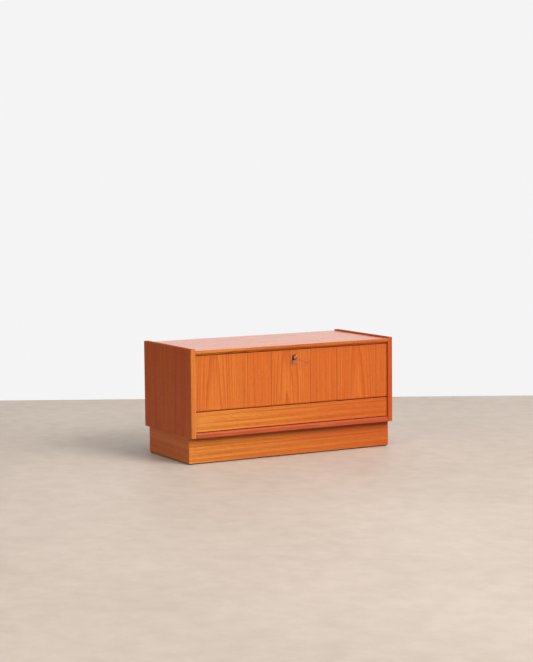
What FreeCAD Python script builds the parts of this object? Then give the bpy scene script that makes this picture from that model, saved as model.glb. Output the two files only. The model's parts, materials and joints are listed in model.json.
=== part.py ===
"""Low teak cabinet on a plinth: a lockable drop flap over a full-width shallow drawer.

X runs along the width (left is -X), Y from the front (-Y) to the back and Z up. The origin lies on the
floor under the middle of the whole object, the key included.
"""
import FreeCAD, Part
import os
import re
import Sketcher

doc = FreeCAD.newDocument("sewing_table")
sheet = doc.addObject("Spreadsheet::Sheet", "sizes")

DIMENSIONS = {
    "cabinet_width": 900, "cabinet_depth": 420, "side_thickness": 20, "board_thickness": 19,
    "glide_height": 4, "plinth_top": 104, "side_top": 444, "top_set_down": 5,
    "front_recess": 8, "side_gap": 1.5, "front_gap": 2, "key_reach": 17,
    "bottom_thickness": 19.5, "drawer_gap_below": 3, "drawer_front_height": 75,
    "lipping_depth": 14, "edge_lipping": 6, "top_bevel_height": 8.5, "bottom_bevel_height": 5,
    "back_thickness": 6, "back_rebate": 8, "back_side_rebate": 7.5,
    "partition_thickness": 16, "partition_setback": 25,
    "plinth_side_inset": 2, "plinth_front_inset": 30, "plinth_back_inset": 35,
    "block_side": 30, "block_height": 60, "glide_radius": 10,
    "knuckle_height": 14, "flap_top_lipping": 8, "knuckle_fillet": 6, "cove_clearance": 0.5,
    "pivot_radius": 3, "pivot_clearance": 0.05, "pivot_plate_thickness": 2.5, "pivot_plate_width": 14,
    "pivot_plate_height": 60, "pivot_reach": 10.5,
    "stay_radius": 110, "stay_start": 81, "stay_spread": 20, "stay_width": 14, "stay_thickness": 2,
    "stay_inset": 12, "rivet_radius": 2.5, "slot_clearance": 0.3, "stay_tail": 10,
    "lock_backset": 27.5, "lock_width": 62, "lock_height": 43, "lock_depth": 10, "lock_wall": 1.5,
    "lock_ear": 12,
    "bolt_width": 20, "bolt_thickness": 5.5, "bolt_head": 13.5, "bolt_tail": 26, "bolt_throw": 8,
    "key_shaft_radius": 2.5, "bow_radius": 9, "bow_wire": 2, "key_collar": 3, "bit_length": 9,
    "drawer_side_thickness": 13, "drawer_clearance": 3, "drawer_length": 360, "drawer_box_base": 130,
    "drawer_box_height": 60, "drawer_bottom_thickness": 5, "drawer_back_thickness": 12,
    "runner_thickness": 8.5, "runner_height": 14, "runner_middle": 165, "runner_clearance": 0.5,
    "divider_thickness": 6, "divider_height": 36, "cell_edge": 140,
    "rail_depth": 40, "rail_thickness": 8, "peg_radius": 3, "peg_height": 28,
    "dowel_radius": 4, "dowel_fit": 0.05, "dowel_in_board": 18, "dowel_in_side": 12,
    "screw_radius": 1.75, "screw_head_radius": 3.5, "screw_head_height": 2, "screw_length": 14,
    "rebate_rise": 10, "back_margin": 0.5, "side_arris": 2.5, "pin_depth": 10,
    "pivot_plate_drop": 6, "hinge_plate_drop": 6.5, "hinge_plate_rise": 45, "knuckle_bore_depth": 12,
    "knuckle_bore_clearance": 0.4, "collar_width": 3, "collar_gap": 0.6, "head_gap": 0.8,
    "shelf_lipping_start": 8, "shelf_lipping_end": 34, "brace_height": 60, "glide_inset": 1,
    "runner_setback": 4, "bolt_setback": 2, "bolt_clearance": 0.4, "mortise_clearance": 0.8,
    "mortise_side_clearance": 1, "strike_half_width": 22, "strike_thickness": 1.5,
    "strike_screw_place": 16.5, "strike_screw_setback": 4.5, "strike_screw_length": 13,
    "lock_set_down": 2.5, "lock_end_wall": 4, "lock_slot_depth": 5, "bolt_tail_thickness": 3,
    "keyhole_radius": 4.5, "keyway_half_width": 1.7, "bit_clearance": 1, "bit_half_width": 1.2,
    "bit_end_gap": 5.4, "collar_rim": 1.3,
    "liner_half_width": 6, "liner_rise": 7, "liner_drop": 13, "liner_sunk": 2, "liner_proud": 0.4,
    "liner_bore_radius": 3.2, "liner_way_half_width": 1.8,
    "bracket_thickness": 2, "bracket_reach": 22, "bracket_half_height": 20, "bracket_lug_radius": 8,
    "bracket_screw_place": 14, "arm_gap": 0.4, "rivet_rim": 2, "rivet_proud": 0.4,
    "rivet_head_height": 1.5,
    "rivet_tail_height": 1, "grip_margin": 60, "grip_height": 3.5, "grip_wall": 9,
    "tray_rise": 2, "tray_groove": 5, "cell_depth": 168,
    "rail_start": 360, "rail_end_gap": 40, "peg_start": 340, "peg_spacing": 35, "peg_hole_floor": 2,
}
for row, (alias, value) in enumerate(DIMENSIONS.items(), start=1):
    sheet.set(f"A{row}", alias)
    sheet.set(f"B{row}", str(value))
    sheet.setAlias(f"B{row}", alias)
doc.recompute()

# Places that several pieces share, as expressions in the driving dimensions.
FRONT = "(key_reach - cabinet_depth) / 2"
BACK = "(key_reach + cabinet_depth) / 2"
INNER = "(cabinet_width / 2 - side_thickness)"
OUTER = "(cabinet_width / 2)"
FACE = f"({FRONT} + front_recess)"
FACE_BACK = f"({FACE} + board_thickness)"
TOP_UP = "(side_top - top_set_down)"
TOP_DOWN = f"({TOP_UP} - board_thickness)"
BOTTOM_UP = "(plinth_top + bottom_thickness)"
DRAWER_DOWN = f"({BOTTOM_UP} + drawer_gap_below)"
DRAWER_UP = f"({DRAWER_DOWN} + drawer_front_height)"
SHELF_DOWN = f"({DRAWER_UP} + front_gap)"
SHELF_UP = f"({SHELF_DOWN} + board_thickness)"
FLAP_UP = f"({TOP_DOWN} - front_gap)"
FLAP_END = f"({INNER} - side_gap)"
BACK_FACE = f"({BACK} - back_rebate)"
AXIS_Y = f"({FACE} + board_thickness / 2)"
AXIS_Z = f"({SHELF_DOWN} + board_thickness / 2)"
KEY_Z = f"({FLAP_UP} - lock_backset)"
LOCK_FRONT = f"({FACE_BACK} - lock_depth)"
STAY_Y = f"({AXIS_Y} + stay_radius * cos(stay_start * 1deg))"
STAY_Z = f"({AXIS_Z} + stay_radius * sin(stay_start * 1deg))"
PIN_Y = f"({AXIS_Y} + stay_radius * cos((stay_start - stay_spread) * 1deg))"
PIN_Z = f"({AXIS_Z} + stay_radius * sin((stay_start - stay_spread) * 1deg))"
STAY_X = f"({INNER} - stay_inset)"
SLOT_START = "(2 * stay_radius * sin(stay_spread / 2 * 1deg))"
SLOT_END = "(2 * stay_radius * sin((stay_spread + 90) / 2 * 1deg))"
DRAWER_OUT = f"({INNER} - drawer_clearance)"
DRAWER_IN = f"({DRAWER_OUT} - drawer_side_thickness)"
DRAWER_BACK = f"({FACE_BACK} + drawer_length)"
TRAY_DOWN = "(drawer_box_base + tray_rise)"
TRAY_UP = f"({TRAY_DOWN} + drawer_bottom_thickness)"
LOCK_UP = f"({FLAP_UP} - lock_set_down)"
LOCK_DOWN = f"({LOCK_UP} - lock_height)"
BOLT_BACK = f"({FACE_BACK} - bolt_setback)"
BOLT_FRONT = f"({BOLT_BACK} - bolt_thickness)"
ARM_IN = f"({STAY_X} - stay_thickness)"
LUG_OUT = f"({ARM_IN} - arm_gap)"

# Places of repeated pieces, as shares of the depth or the height and as distances in millimetres.
DOWEL_SHARES = (0.16, 0.42, 0.68, 0.9)
BACK_SCREW_SHARES = (0.12, 0.38, 0.64, 0.9)
GLIDE_SHARES = (("end", 1), ("middle", 0.12))
RUNNER_SCREW_REACHES = (30, 170, 310)
LOCK_SCREW_RISES = (-10, 13)
PEG_COUNT = 5

SIDES = (("left", -1), ("right", 1))
nodes = []

# An edge to round is picked by its middle point and its length.
NEAR = 0.1
LONG = 100


def sized(text):
    """Turn each driving dimension named in an expression into its cell."""
    return re.sub(r"[a-z][a-z_]*",
                  lambda word: f"sizes.{word[0]}" if word[0] in DIMENSIONS else word[0], text)


def number(text):
    """Value of an expression in the driving dimensions."""
    return float(sheet.evalExpression(sized(text)))


def bind(thing, **sizes):
    """Bind properties of an object to expressions in the driving dimensions."""
    for name, text in sizes.items():
        thing.setExpression(name.replace("__", "."), sized(str(text)))
    return thing


def keep(label, thing):
    """Give a finished sub-part its name and list it."""
    thing.Label = label
    nodes.append(thing)
    return thing


def sided(sign, near, far):
    """A span from near to far of the middle plane, on the left or the right."""
    return (near, far) if sign > 0 else (f"-({far})", f"-({near})")


def block(name, x, y, z):
    """A box from its lowest and highest x, y and z."""
    box = doc.addObject("Part::Box", name)
    for size, axis, (low, high) in zip(("Length", "Width", "Height"), "xyz", (x, y, z)):
        bind(box, **{size: f"({high}) - ({low})", f"Placement__Base__{axis}": low})
    return box


TURNS = {
    "x": FreeCAD.Rotation(FreeCAD.Vector(0, 1, 0), 90),
    "y": FreeCAD.Rotation(FreeCAD.Vector(1, 0, 0), -90),
    "z": FreeCAD.Rotation(),
}


def along(thing, axis, start):
    """Stand a round primitive on its start point, pointing along +X, +Y or +Z."""
    thing.Placement = FreeCAD.Placement(FreeCAD.Vector(), TURNS[axis])
    for letter, text in zip("xyz", start):
        bind(thing, **{f"Placement__Base__{letter}": text})
    return thing


def rod(name, axis, start, radius, length):
    """A cylinder from its start point along +X, +Y or +Z."""
    return along(bind(doc.addObject("Part::Cylinder", name), Radius=radius, Height=length), axis, start)


def group(name, pieces):
    """Several solids that stay separate in one object."""
    compound = doc.addObject("Part::Compound", name)
    compound.Links = pieces
    return compound


def cut(name, base, tools):
    """Take tools away from a base."""
    result = doc.addObject("Part::Cut", name)
    result.Base = base
    result.Tool = group(f"{name}_tools", tools)
    return result


def fuse(name, pieces):
    """Join overlapping or touching pieces into one solid."""
    result = doc.addObject("Part::MultiFuse", name)
    result.Shapes = pieces
    result.Refine = True
    return result


def profile(name, plane, outline, start, length):
    """A body made by padding a closed outline from a plane that lies start away from the origin plane."""
    body = doc.addObject("PartDesign::Body", name)
    sketch = body.newObject("Sketcher::SketchObject", f"{name}_outline")
    origin_plane = next(part for part in body.Origin.OriginFeatures if part.Role == plane)
    sketch.AttachmentSupport = [(origin_plane, "")]
    sketch.MapMode = "FlatFace"
    bind(sketch, AttachmentOffset__Base__z=start)
    corners = [FreeCAD.Vector(number(across), number(up), 0) for across, up in outline]
    for index, corner in enumerate(corners):
        sketch.addGeometry(Part.LineSegment(corner, corners[(index + 1) % len(corners)]), False)
    for index in range(len(corners)):
        sketch.addConstraint(Sketcher.Constraint("Coincident", index, 2, (index + 1) % len(corners), 1))
    for index, point in enumerate(outline):
        for kind, text in zip(("DistanceX", "DistanceY"), point):
            place = sketch.addConstraint(Sketcher.Constraint(kind, -1, 1, index, 1, number(text)))
            sketch.setExpression(f"Constraints[{place}]", sized(text))
    pad = body.newObject("PartDesign::Pad", f"{name}_pad")
    pad.Profile = sketch
    bind(pad, Length=length)
    doc.recompute()
    return body


def rounded(body, name, radius, chosen):
    """Fillet the edges of a body whose middle point passes a test."""
    edges = [f"Edge{index}" for index, edge in enumerate(body.Shape.Edges, start=1)
             if chosen(edge.CenterOfMass, edge.Length)]
    if not edges:
        raise RuntimeError(f"{name}: no edge to round")
    base = body.Tip
    fillet = body.newObject("PartDesign::Fillet", name)
    fillet.Base = (base, edges)
    bind(fillet, Radius=radius)
    doc.recompute()
    return body


def screw(name, axis, head, length, inward=1):
    """A countersunk screw; head is the middle of its flat top, inward the way its point goes."""
    cone = doc.addObject("Part::Cone", f"{name}_head")
    shank = doc.addObject("Part::Cylinder", f"{name}_shank")
    wide, thin = ("Radius1", "Radius2") if inward > 0 else ("Radius2", "Radius1")
    bind(cone, **{wide: "screw_head_radius", thin: "screw_radius", "Height": "screw_head_height"})
    bind(shank, Radius="screw_radius", Height=length)
    start = dict(zip("xyz", head))
    for thing, size in ((cone, "screw_head_height"), (shank, length)):
        base = dict(start)
        if inward < 0:
            base[axis] = f"{start[axis]} - ({size})"
        along(thing, axis, [base[letter] for letter in "xyz"])
    return fuse(name, [cone, shank])


def dowels():
    """Dowels that join the top, shelf and bottom to the side panels; the same shapes cut the holes."""
    pins, holes = [], {}
    levels = {"top": f"{TOP_DOWN} + board_thickness / 2", "shelf": f"{SHELF_DOWN} + board_thickness / 2",
              "bottom": "plinth_top + bottom_thickness / 2"}
    for side, sign in SIDES:
        low, _ = sided(sign, f"{INNER} - dowel_in_board", f"{INNER} + dowel_in_side")
        for level, height in levels.items():
            for index, share in enumerate(DOWEL_SHARES):
                name = f"dowel_{level}_{side}_{index}"
                start = (low, f"{FRONT} + {share} * cabinet_depth", height)
                length = "dowel_in_board + dowel_in_side"
                pins.append(rod(name, "x", start, "dowel_radius", length))
                for owner in (level, side):
                    hole = rod(f"{name}_hole_{owner}", "x", start, "dowel_radius + dowel_fit", length)
                    holes.setdefault(owner, []).append(hole)
    keep("carcass_dowels", group("carcass_dowel_set", pins))
    return holes


def back_screws():
    """Countersunk screws that hold the back panel to the side panels."""
    screws, holes = [], {"back": [], "left": [], "right": []}
    for side, sign in SIDES:
        middle = f"{sign} * ({INNER} + back_side_rebate / 2)"
        for index, share in enumerate(BACK_SCREW_SHARES):
            head = (middle, f"{BACK_FACE} + back_thickness",
                    f"plinth_top + {share} * ({TOP_UP} - plinth_top)")
            for owner in (None, "back", side):
                name = f"back_screw_{side}_{index}_{owner}"
                piece = screw(name, "y", head, "back_thickness + screw_length", inward=-1)
                (holes[owner] if owner else screws).append(piece)
    keep("back_screws", group("back_screw_set", screws))
    return holes


def runner_screws():
    """Screws through the drawer runners into the side panels."""
    screws, holes = [], {}
    for side, sign in SIDES:
        for index, reach in enumerate(RUNNER_SCREW_REACHES):
            head = (f"{sign} * ({INNER} - runner_thickness)", f"{FACE_BACK} + {reach}", "runner_middle")
            for owner in (None, f"runner_{side}", side):
                name = f"runner_screw_{side}_{index}_{owner}"
                piece = screw(name, "x", head, "runner_thickness + screw_length", inward=sign)
                (holes.setdefault(owner, []) if owner else screws).append(piece)
    keep("runner_screws", group("runner_screw_set", screws))
    return holes


def side_panels(holes):
    """Side panels with a rebate for the back and a recess for the flap's pivot plate, and their lippings."""
    for side, sign in SIDES:
        span = sided(sign, INNER, OUTER)
        panel = block(f"side_board_{side}", span, (f"{FRONT} + edge_lipping", BACK), ("plinth_top", "side_top"))
        rebate = block(f"side_rebate_{side}", sided(sign, INNER, f"{INNER} + back_side_rebate"),
                       (BACK_FACE, BACK), ("plinth_top", f"{TOP_DOWN} + rebate_rise"))
        recess = block(f"side_recess_{side}", sided(sign, INNER, f"{INNER} + pivot_plate_thickness"),
                       *pivot_plate_span())
        low, _ = sided(sign, INNER, f"{INNER} + pin_depth")
        pin_hole = rod(f"stay_pin_hole_{side}", "x", (low, PIN_Y, PIN_Z), "pivot_radius",
                       "pin_depth")
        keep(f"side_panel_{side}", cut(f"side_panel_{side}_cut", panel,
                                       [rebate, recess, pin_hole] + holes[side]))
        inner_x, front_y = sign * number(INNER), number(FRONT)
        lipping = profile(f"side_lipping_{side}", "XY_Plane",
                          [(span[0], FRONT), (span[1], FRONT), (span[1], f"{FRONT} + edge_lipping"),
                           (span[0], f"{FRONT} + edge_lipping")], "plinth_top", "side_top - plinth_top")
        rounded(lipping, f"side_lipping_{side}_arris", "side_arris",
                lambda middle, length: abs(middle.x - inner_x) < NEAR and abs(middle.y - front_y) < NEAR
                and length > LONG)
        keep(f"side_lipping_{side}", lipping)


def pivot_plate_span():
    """Y and Z spans of a flap pivot plate, around the flap's axis."""
    return ((f"{AXIS_Y} - pivot_plate_width / 2", f"{AXIS_Y} + pivot_plate_width / 2"),
            (f"{AXIS_Z} - pivot_plate_drop", f"{AXIS_Z} - pivot_plate_drop + pivot_plate_height"))


def flap_pivots():
    """Brass plates let into the side panels, each with the pin that the flap turns on."""
    for side, sign in SIDES:
        plate = block(f"pivot_plate_{side}", sided(sign, INNER, f"{INNER} + pivot_plate_thickness"),
                      *pivot_plate_span())
        low, _ = sided(sign, f"{INNER} - pivot_reach", f"{INNER} + pivot_plate_thickness")
        pin = rod(f"pivot_pin_{side}", "x", (low, AXIS_Y, AXIS_Z), "pivot_radius",
                  "pivot_reach + pivot_plate_thickness")
        keep(f"flap_pivot_{side}", fuse(f"flap_pivot_{side}_joined", [plate, pin]))


def stay_pins():
    """Shoulder pins on the side panels that the slotted stays slide over."""
    for side, sign in SIDES:
        steps = (("shank", INNER, f"{INNER} + pin_depth", "pivot_radius"),
                 ("collar", f"{STAY_X} + collar_gap", INNER, "pivot_radius + collar_width"),
                 ("neck", f"{ARM_IN} - head_gap", f"{STAY_X} + collar_gap", "pivot_radius"),
                 ("head", f"{ARM_IN} - head_gap - stay_thickness", f"{ARM_IN} - head_gap",
                  "pivot_radius + collar_width"))
        pieces = []
        for step, near, far, radius in steps:
            low, high = sided(sign, near, far)
            pieces.append(rod(f"stay_pin_{step}_{side}", "x", (low, PIN_Y, PIN_Z), radius,
                              f"({high}) - ({low})"))
        keep(f"stay_pin_{side}", fuse(f"stay_pin_{side}_joined", pieces))


def carcass_boards(holes, back_holes, strike_holes):
    """Top, bottom, shelf, partition and back, with the bevelled and coved solid lippings."""
    width = (f"-{INNER}", INNER)
    length = f"2 * {INNER}"
    behind = f"{FRONT} + lipping_depth"
    top = block("top_board", width, (behind, BACK), (TOP_DOWN, TOP_UP))
    rebate = block("top_rebate", width, (BACK_FACE, BACK), (TOP_DOWN, f"{TOP_DOWN} + rebate_rise"))
    mortise = block("bolt_mortise", *bolt_slot(), (TOP_DOWN, f"{TOP_DOWN} + rebate_rise"))
    plate_recess = block("strike_recess", *strike_span())
    keep("top_panel", cut("top_panel_cut", top,
                          [rebate, mortise, plate_recess] + holes["top"] + strike_holes))
    keep("top_lipping", profile("top_lipping", "YZ_Plane",
         [(FRONT, f"{TOP_DOWN} + top_bevel_height"), (f"{FRONT} + front_recess", TOP_DOWN),
          (behind, TOP_DOWN), (behind, TOP_UP), (FRONT, TOP_UP)], f"-{INNER}", length))
    bottom = block("bottom_board", width, (behind, BACK_FACE), ("plinth_top", BOTTOM_UP))
    keep("bottom_panel", cut("bottom_panel_cut", bottom, holes["bottom"]))
    keep("bottom_lipping", profile("bottom_lipping", "YZ_Plane",
         [(FRONT, "plinth_top"), (behind, "plinth_top"), (behind, BOTTOM_UP),
          (f"{FRONT} + front_recess", BOTTOM_UP), (FRONT, f"{BOTTOM_UP} - bottom_bevel_height")],
         f"-{INNER}", length))
    joint_line = f"{AXIS_Y} + shelf_lipping_end"
    shelf = block("shelf_board", width, (joint_line, BACK_FACE), (SHELF_DOWN, SHELF_UP))
    keep("shelf_panel", cut("shelf_panel_cut", shelf, holes["shelf"]))
    edge = block("shelf_edge", width, (f"{AXIS_Y} + shelf_lipping_start", joint_line), (SHELF_DOWN, SHELF_UP))
    cove = rod("shelf_cove", "x", (f"-{INNER}", AXIS_Y, AXIS_Z),
               "board_thickness / 2 * sqrt(2) + cove_clearance", length)
    keep("shelf_lipping", cut("shelf_lipping_cut", edge, [cove]))
    keep("centre_partition", block("centre_partition_board",
         ("-partition_thickness / 2", "partition_thickness / 2"),
         (f"{FACE_BACK} + partition_setback", BACK_FACE), (SHELF_UP, TOP_DOWN)))
    back = block("back_board", (f"-{INNER} - back_side_rebate", f"{INNER} + back_side_rebate"),
                 (BACK_FACE, f"{BACK_FACE} + back_thickness"),
                 ("plinth_top + back_margin", f"{TOP_DOWN} + rebate_rise - back_margin"))
    keep("back_panel", cut("back_panel_cut", back, back_holes))


def bolt_slot():
    """X and Y spans of the slot that the lock bolt passes through."""
    half = "(bolt_width / 2 + mortise_side_clearance)"
    return (f"-{half}", half), (f"{BOLT_FRONT} - mortise_clearance", f"{BOLT_BACK} + mortise_clearance")


def strike_span():
    """Spans of the strike plate let into the underside of the top."""
    return (("-strike_half_width", "strike_half_width"),
            (f"{FRONT} + lipping_depth + 0.5", f"{FACE_BACK} + 3.5"),
            (TOP_DOWN, f"{TOP_DOWN} + strike_thickness"))


def strike_plate(screw_holes):
    """Brass plate with the slot for the bolt, held by two screws."""
    plate = block("strike_blank", *strike_span())
    slot = block("strike_slot", *bolt_slot(), (TOP_DOWN, f"{TOP_DOWN} + strike_thickness"))
    keep("strike_plate", cut("strike_plate_cut", plate, [slot] + screw_holes))


def plinth():
    """Mitred frame of four boards with a brace, corner blocks and glides, set in under the carcass."""
    outer, inner = f"({OUTER} - plinth_side_inset)", f"({OUTER} - plinth_side_inset - board_thickness)"
    front, back = f"({FRONT} + plinth_front_inset)", f"({BACK} - plinth_back_inset)"
    front_in, back_in = f"({front} + board_thickness)", f"({back} - board_thickness)"
    boards = {
        "plinth_front": [(f"-{outer}", front), (outer, front), (inner, front_in), (f"-{inner}", front_in)],
        "plinth_back": [(f"-{outer}", back), (f"-{inner}", back_in), (inner, back_in), (outer, back)],
        "plinth_side_left": [(f"-{outer}", front), (f"-{inner}", front_in), (f"-{inner}", back_in),
                             (f"-{outer}", back)],
        "plinth_side_right": [(outer, front), (outer, back), (inner, back_in), (inner, front_in)],
    }
    for label, outline in boards.items():
        keep(label, profile(label, "XY_Plane", outline, "glide_height", "plinth_top - glide_height"))
    keep("plinth_brace", block("plinth_brace_board", ("-board_thickness / 2", "board_thickness / 2"),
                               (front_in, back_in), ("plinth_top - brace_height", "plinth_top")))
    blocks, glides = [], []
    for side, sign in SIDES:
        for row, (near, far, middle) in {
                "front": (front_in, f"{front_in} + block_side", f"{front} + glide_radius + glide_inset"),
                "back": (f"{back_in} - block_side", back_in, f"{back} - glide_radius - glide_inset")}.items():
            blocks.append(block(f"block_{row}_{side}", sided(sign, f"{inner} - block_side", inner),
                                (near, far), ("plinth_top - block_height", "plinth_top")))
            for place, share in GLIDE_SHARES:
                glides.append(rod(f"glide_{row}_{side}_{place}", "z",
                                  (f"{sign} * {share} * ({outer} - glide_radius - glide_inset)", middle, "0"),
                                  "glide_radius", "glide_height"))
    keep("plinth_corner_blocks", group("corner_block_set", blocks))
    keep("plinth_glides", group("glide_set", glides))


def runners(holes):
    """Hardwood strips on the side panels that the drawer's grooved sides run on."""
    for side, sign in SIDES:
        strip = block(f"runner_strip_{side}", sided(sign, f"{INNER} - runner_thickness", INNER),
                      (f"{FACE_BACK} + runner_setback", BACK_FACE),
                      ("runner_middle - runner_height / 2", "runner_middle + runner_height / 2"))
        keep(f"drawer_runner_{side}", cut(f"drawer_runner_{side}_cut", strip, holes[f"runner_{side}"]))


def flap(screw_holes):
    """Flap panel with its solid lippings; the bottom one is the knuckle that turns in the shelf's cove."""
    width = (f"-{FLAP_END}", FLAP_END)
    thickness = (FACE, FACE_BACK)
    knuckle_top = f"{SHELF_DOWN} + knuckle_height"
    panel_top = f"{FLAP_UP} - flap_top_lipping"
    inside = f"{FLAP_END} - edge_lipping"
    blank = block("flap_blank", (f"-({inside})", inside), thickness, (knuckle_top, panel_top))
    lock_pocket = block("lock_pocket", ("-lock_width / 2", "lock_width / 2"), (LOCK_FRONT, FACE_BACK),
                        (LOCK_DOWN, panel_top))
    keyhole = rod("keyhole", "y", ("0", FACE, KEY_Z), "keyhole_radius", "board_thickness")
    bit_slot = block("bit_slot", ("-2", "2"), thickness, (f"{KEY_Z} - bit_length - 2", KEY_Z))
    liner_seat = block("liner_seat", *liner_span(FACE))
    ear_seat = block("ear_seat", *lock_ear_span())
    keep("flap_panel", cut("flap_panel_cut", blank,
                           [lock_pocket, keyhole, bit_slot, liner_seat, ear_seat] + screw_holes))
    lipping = block("flap_top_strip", width, thickness, (panel_top, FLAP_UP))
    pocket = block("lock_pocket_top", ("-lock_width / 2", "lock_width / 2"), (LOCK_FRONT, FACE_BACK),
                   (panel_top, FLAP_UP))
    keep("flap_top_lipping", cut("flap_top_lipping_cut", lipping, [pocket]))
    knuckle = profile("flap_knuckle", "YZ_Plane",
                      [(FACE, SHELF_DOWN), (FACE_BACK, SHELF_DOWN), (FACE_BACK, knuckle_top),
                       (FACE, knuckle_top)], f"-{FLAP_END}", f"2 * {FLAP_END}")
    rounded(knuckle, "flap_knuckle_round", "knuckle_fillet",
            lambda middle, length: abs(middle.y - number(FACE)) < NEAR
            and abs(middle.z - number(SHELF_DOWN)) < NEAR and length > LONG)
    tools = {"left": [], "right": []}
    for side, sign in SIDES:
        for owner in ("knuckle", "end"):
            tools[side].append(block(f"hinge_recess_{owner}_{side}",
                                     sided(sign, f"{FLAP_END} - pivot_plate_thickness", FLAP_END),
                                     *hinge_plate_span()))
        strip = block(f"flap_end_strip_{side}", sided(sign, inside, FLAP_END), thickness,
                      (knuckle_top, panel_top))
        keep(f"flap_end_lipping_{side}", cut(f"flap_end_lipping_{side}_cut", strip, tools[side][1:]))
    pin_holes = [rod(f"knuckle_pin_hole_{side}", "x",
                     (sided(sign, f"{FLAP_END} - knuckle_bore_depth", FLAP_END)[0], AXIS_Y, AXIS_Z),
                     "pivot_radius + knuckle_bore_clearance", "knuckle_bore_depth") for side, sign in SIDES]
    keep("flap_bottom_lipping", cut("flap_bottom_lipping_cut", knuckle,
                                    [tools["left"][0], tools["right"][0]] + pin_holes))


def hinge_plate_span():
    """Y and Z spans of the plates let into the flap's ends."""
    return ((f"{AXIS_Y} - pivot_plate_width / 2", f"{AXIS_Y} + pivot_plate_width / 2"),
            (f"{AXIS_Z} - hinge_plate_drop", f"{AXIS_Z} + hinge_plate_rise"))


def lock_ear_span():
    """Spans of the thin ears that the lock is screwed to the flap by."""
    half = "(lock_width / 2 + lock_ear)"
    return ((f"-{half}", half), (f"{FACE_BACK} - lock_wall", FACE_BACK),
            (f"{LOCK_DOWN} + 4", f"{FLAP_UP} - flap_top_lipping - 2"))


def liner_span(front):
    """Spans of the keyhole liner, from its front to the bottom of its seat."""
    return (("-liner_half_width", "liner_half_width"), (front, f"{FACE} + liner_sunk"),
            (f"{KEY_Z} - liner_drop", f"{KEY_Z} + liner_rise"))


def lock_screws():
    """Screws in the lock's ears and in the strike plate, and the same shapes for their holes."""
    sets = {"lock_screws": [], "strike_screws": [], "ears": [], "flap": [], "strike": [], "top": []}
    for column in (-1, 1):
        for row, rise in enumerate(LOCK_SCREW_RISES):
            head = (f"{column} * (lock_width / 2 + lock_ear / 2)", FACE_BACK, f"{KEY_Z} + {rise}")
            for owner in ("lock_screws", "ears", "flap"):
                name = f"lock_screw_{column + 1}_{row}_{owner}"
                sets[owner].append(screw(name, "y", head, "screw_length", inward=-1))
        head = (f"{column} * strike_screw_place", f"{FACE_BACK} - strike_screw_setback", TOP_DOWN)
        for owner in ("strike_screws", "strike", "top"):
            sets[owner].append(screw(f"strike_screw_{column + 1}_{owner}", "z", head, "strike_screw_length"))
    for label in ("lock_screws", "strike_screws"):
        keep(label, group(f"{label}_set", sets[label]))
    return sets


def hinge_plates():
    """Brass plates in the flap's ends with the bore that turns on the pivot pin."""
    for side, sign in SIDES:
        span = sided(sign, f"{FLAP_END} - pivot_plate_thickness", FLAP_END)
        plate = block(f"hinge_plate_blank_{side}", span, *hinge_plate_span())
        bore = rod(f"hinge_plate_bore_{side}", "x", (span[0], AXIS_Y, AXIS_Z),
                   "pivot_radius + pivot_clearance", "pivot_plate_thickness")
        keep(f"flap_hinge_plate_{side}", cut(f"flap_hinge_plate_{side}_cut", plate, [bore]))


def lock(ear_holes):
    """Cut-in flap lock: a tray-shaped case with screw ears, a cap with the keyhole, and the bolt."""
    half = "lock_width / 2"
    shell = block("lock_shell", (f"-{half}", half), (f"{LOCK_FRONT} + lock_wall", FACE_BACK),
                  (LOCK_DOWN, FLAP_UP))
    hollow = block("lock_hollow", (f"-{half} + lock_wall", f"{half} - lock_wall"),
                   (f"{LOCK_FRONT} + lock_wall", f"{FACE_BACK} - lock_wall"),
                   (f"{LOCK_DOWN} + lock_wall", f"{FLAP_UP} - lock_end_wall"))
    slot = block("lock_slot", ("-bolt_width / 2 - bolt_clearance", "bolt_width / 2 + bolt_clearance"),
                 (f"{BOLT_FRONT} - bolt_clearance", f"{BOLT_BACK} + bolt_clearance"),
                 (f"{FLAP_UP} - lock_slot_depth", FLAP_UP))
    eared = fuse("lock_shell_eared", [shell, block("lock_ears", *lock_ear_span())])
    keep("lock_case", cut("lock_case_cut", eared, [hollow, slot] + ear_holes))
    cap_depth = (LOCK_FRONT, f"{LOCK_FRONT} + lock_wall")
    cap = block("lock_cap_blank", (f"-{half}", half), cap_depth, (LOCK_DOWN, FLAP_UP))
    bore = rod("lock_cap_bore", "y", ("0", LOCK_FRONT, KEY_Z), "key_shaft_radius + pivot_clearance",
               "lock_wall")
    way = block("lock_cap_way", ("-keyway_half_width", "keyway_half_width"), cap_depth,
                (f"{KEY_Z} - bit_length - bit_clearance", KEY_Z))
    keep("lock_cap", cut("lock_cap_cut", cap, [bore, way]))
    across = ("-bolt_width / 2", "bolt_width / 2")
    head = block("bolt_head_block", across, (BOLT_FRONT, BOLT_BACK),
                 (f"{KEY_Z} + bolt_head", f"{FLAP_UP} - 0.5"))
    tail = block("bolt_tail_block", across, (f"{BOLT_BACK} - bolt_tail_thickness", BOLT_BACK),
                 (f"{KEY_Z} + bolt_head - bolt_tail", f"{KEY_Z} + bolt_head"))
    keep("lock_bolt", fuse("lock_bolt_joined", [head, tail]))


def keyhole_liner():
    """Thin metal surround let into the flap's face around the keyhole."""
    front = f"{FACE} - liner_proud"
    plate = block("liner_blank", *liner_span(front))
    bore = rod("liner_bore", "y", ("0", front, KEY_Z), "liner_bore_radius", "liner_proud + liner_sunk")
    way = block("liner_way", ("-liner_way_half_width", "liner_way_half_width"),
                (front, f"{FACE} + liner_sunk"), (f"{KEY_Z} - bit_length - 1.5", KEY_Z))
    keep("keyhole_liner", cut("keyhole_liner_cut", plate, [bore, way]))


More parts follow.
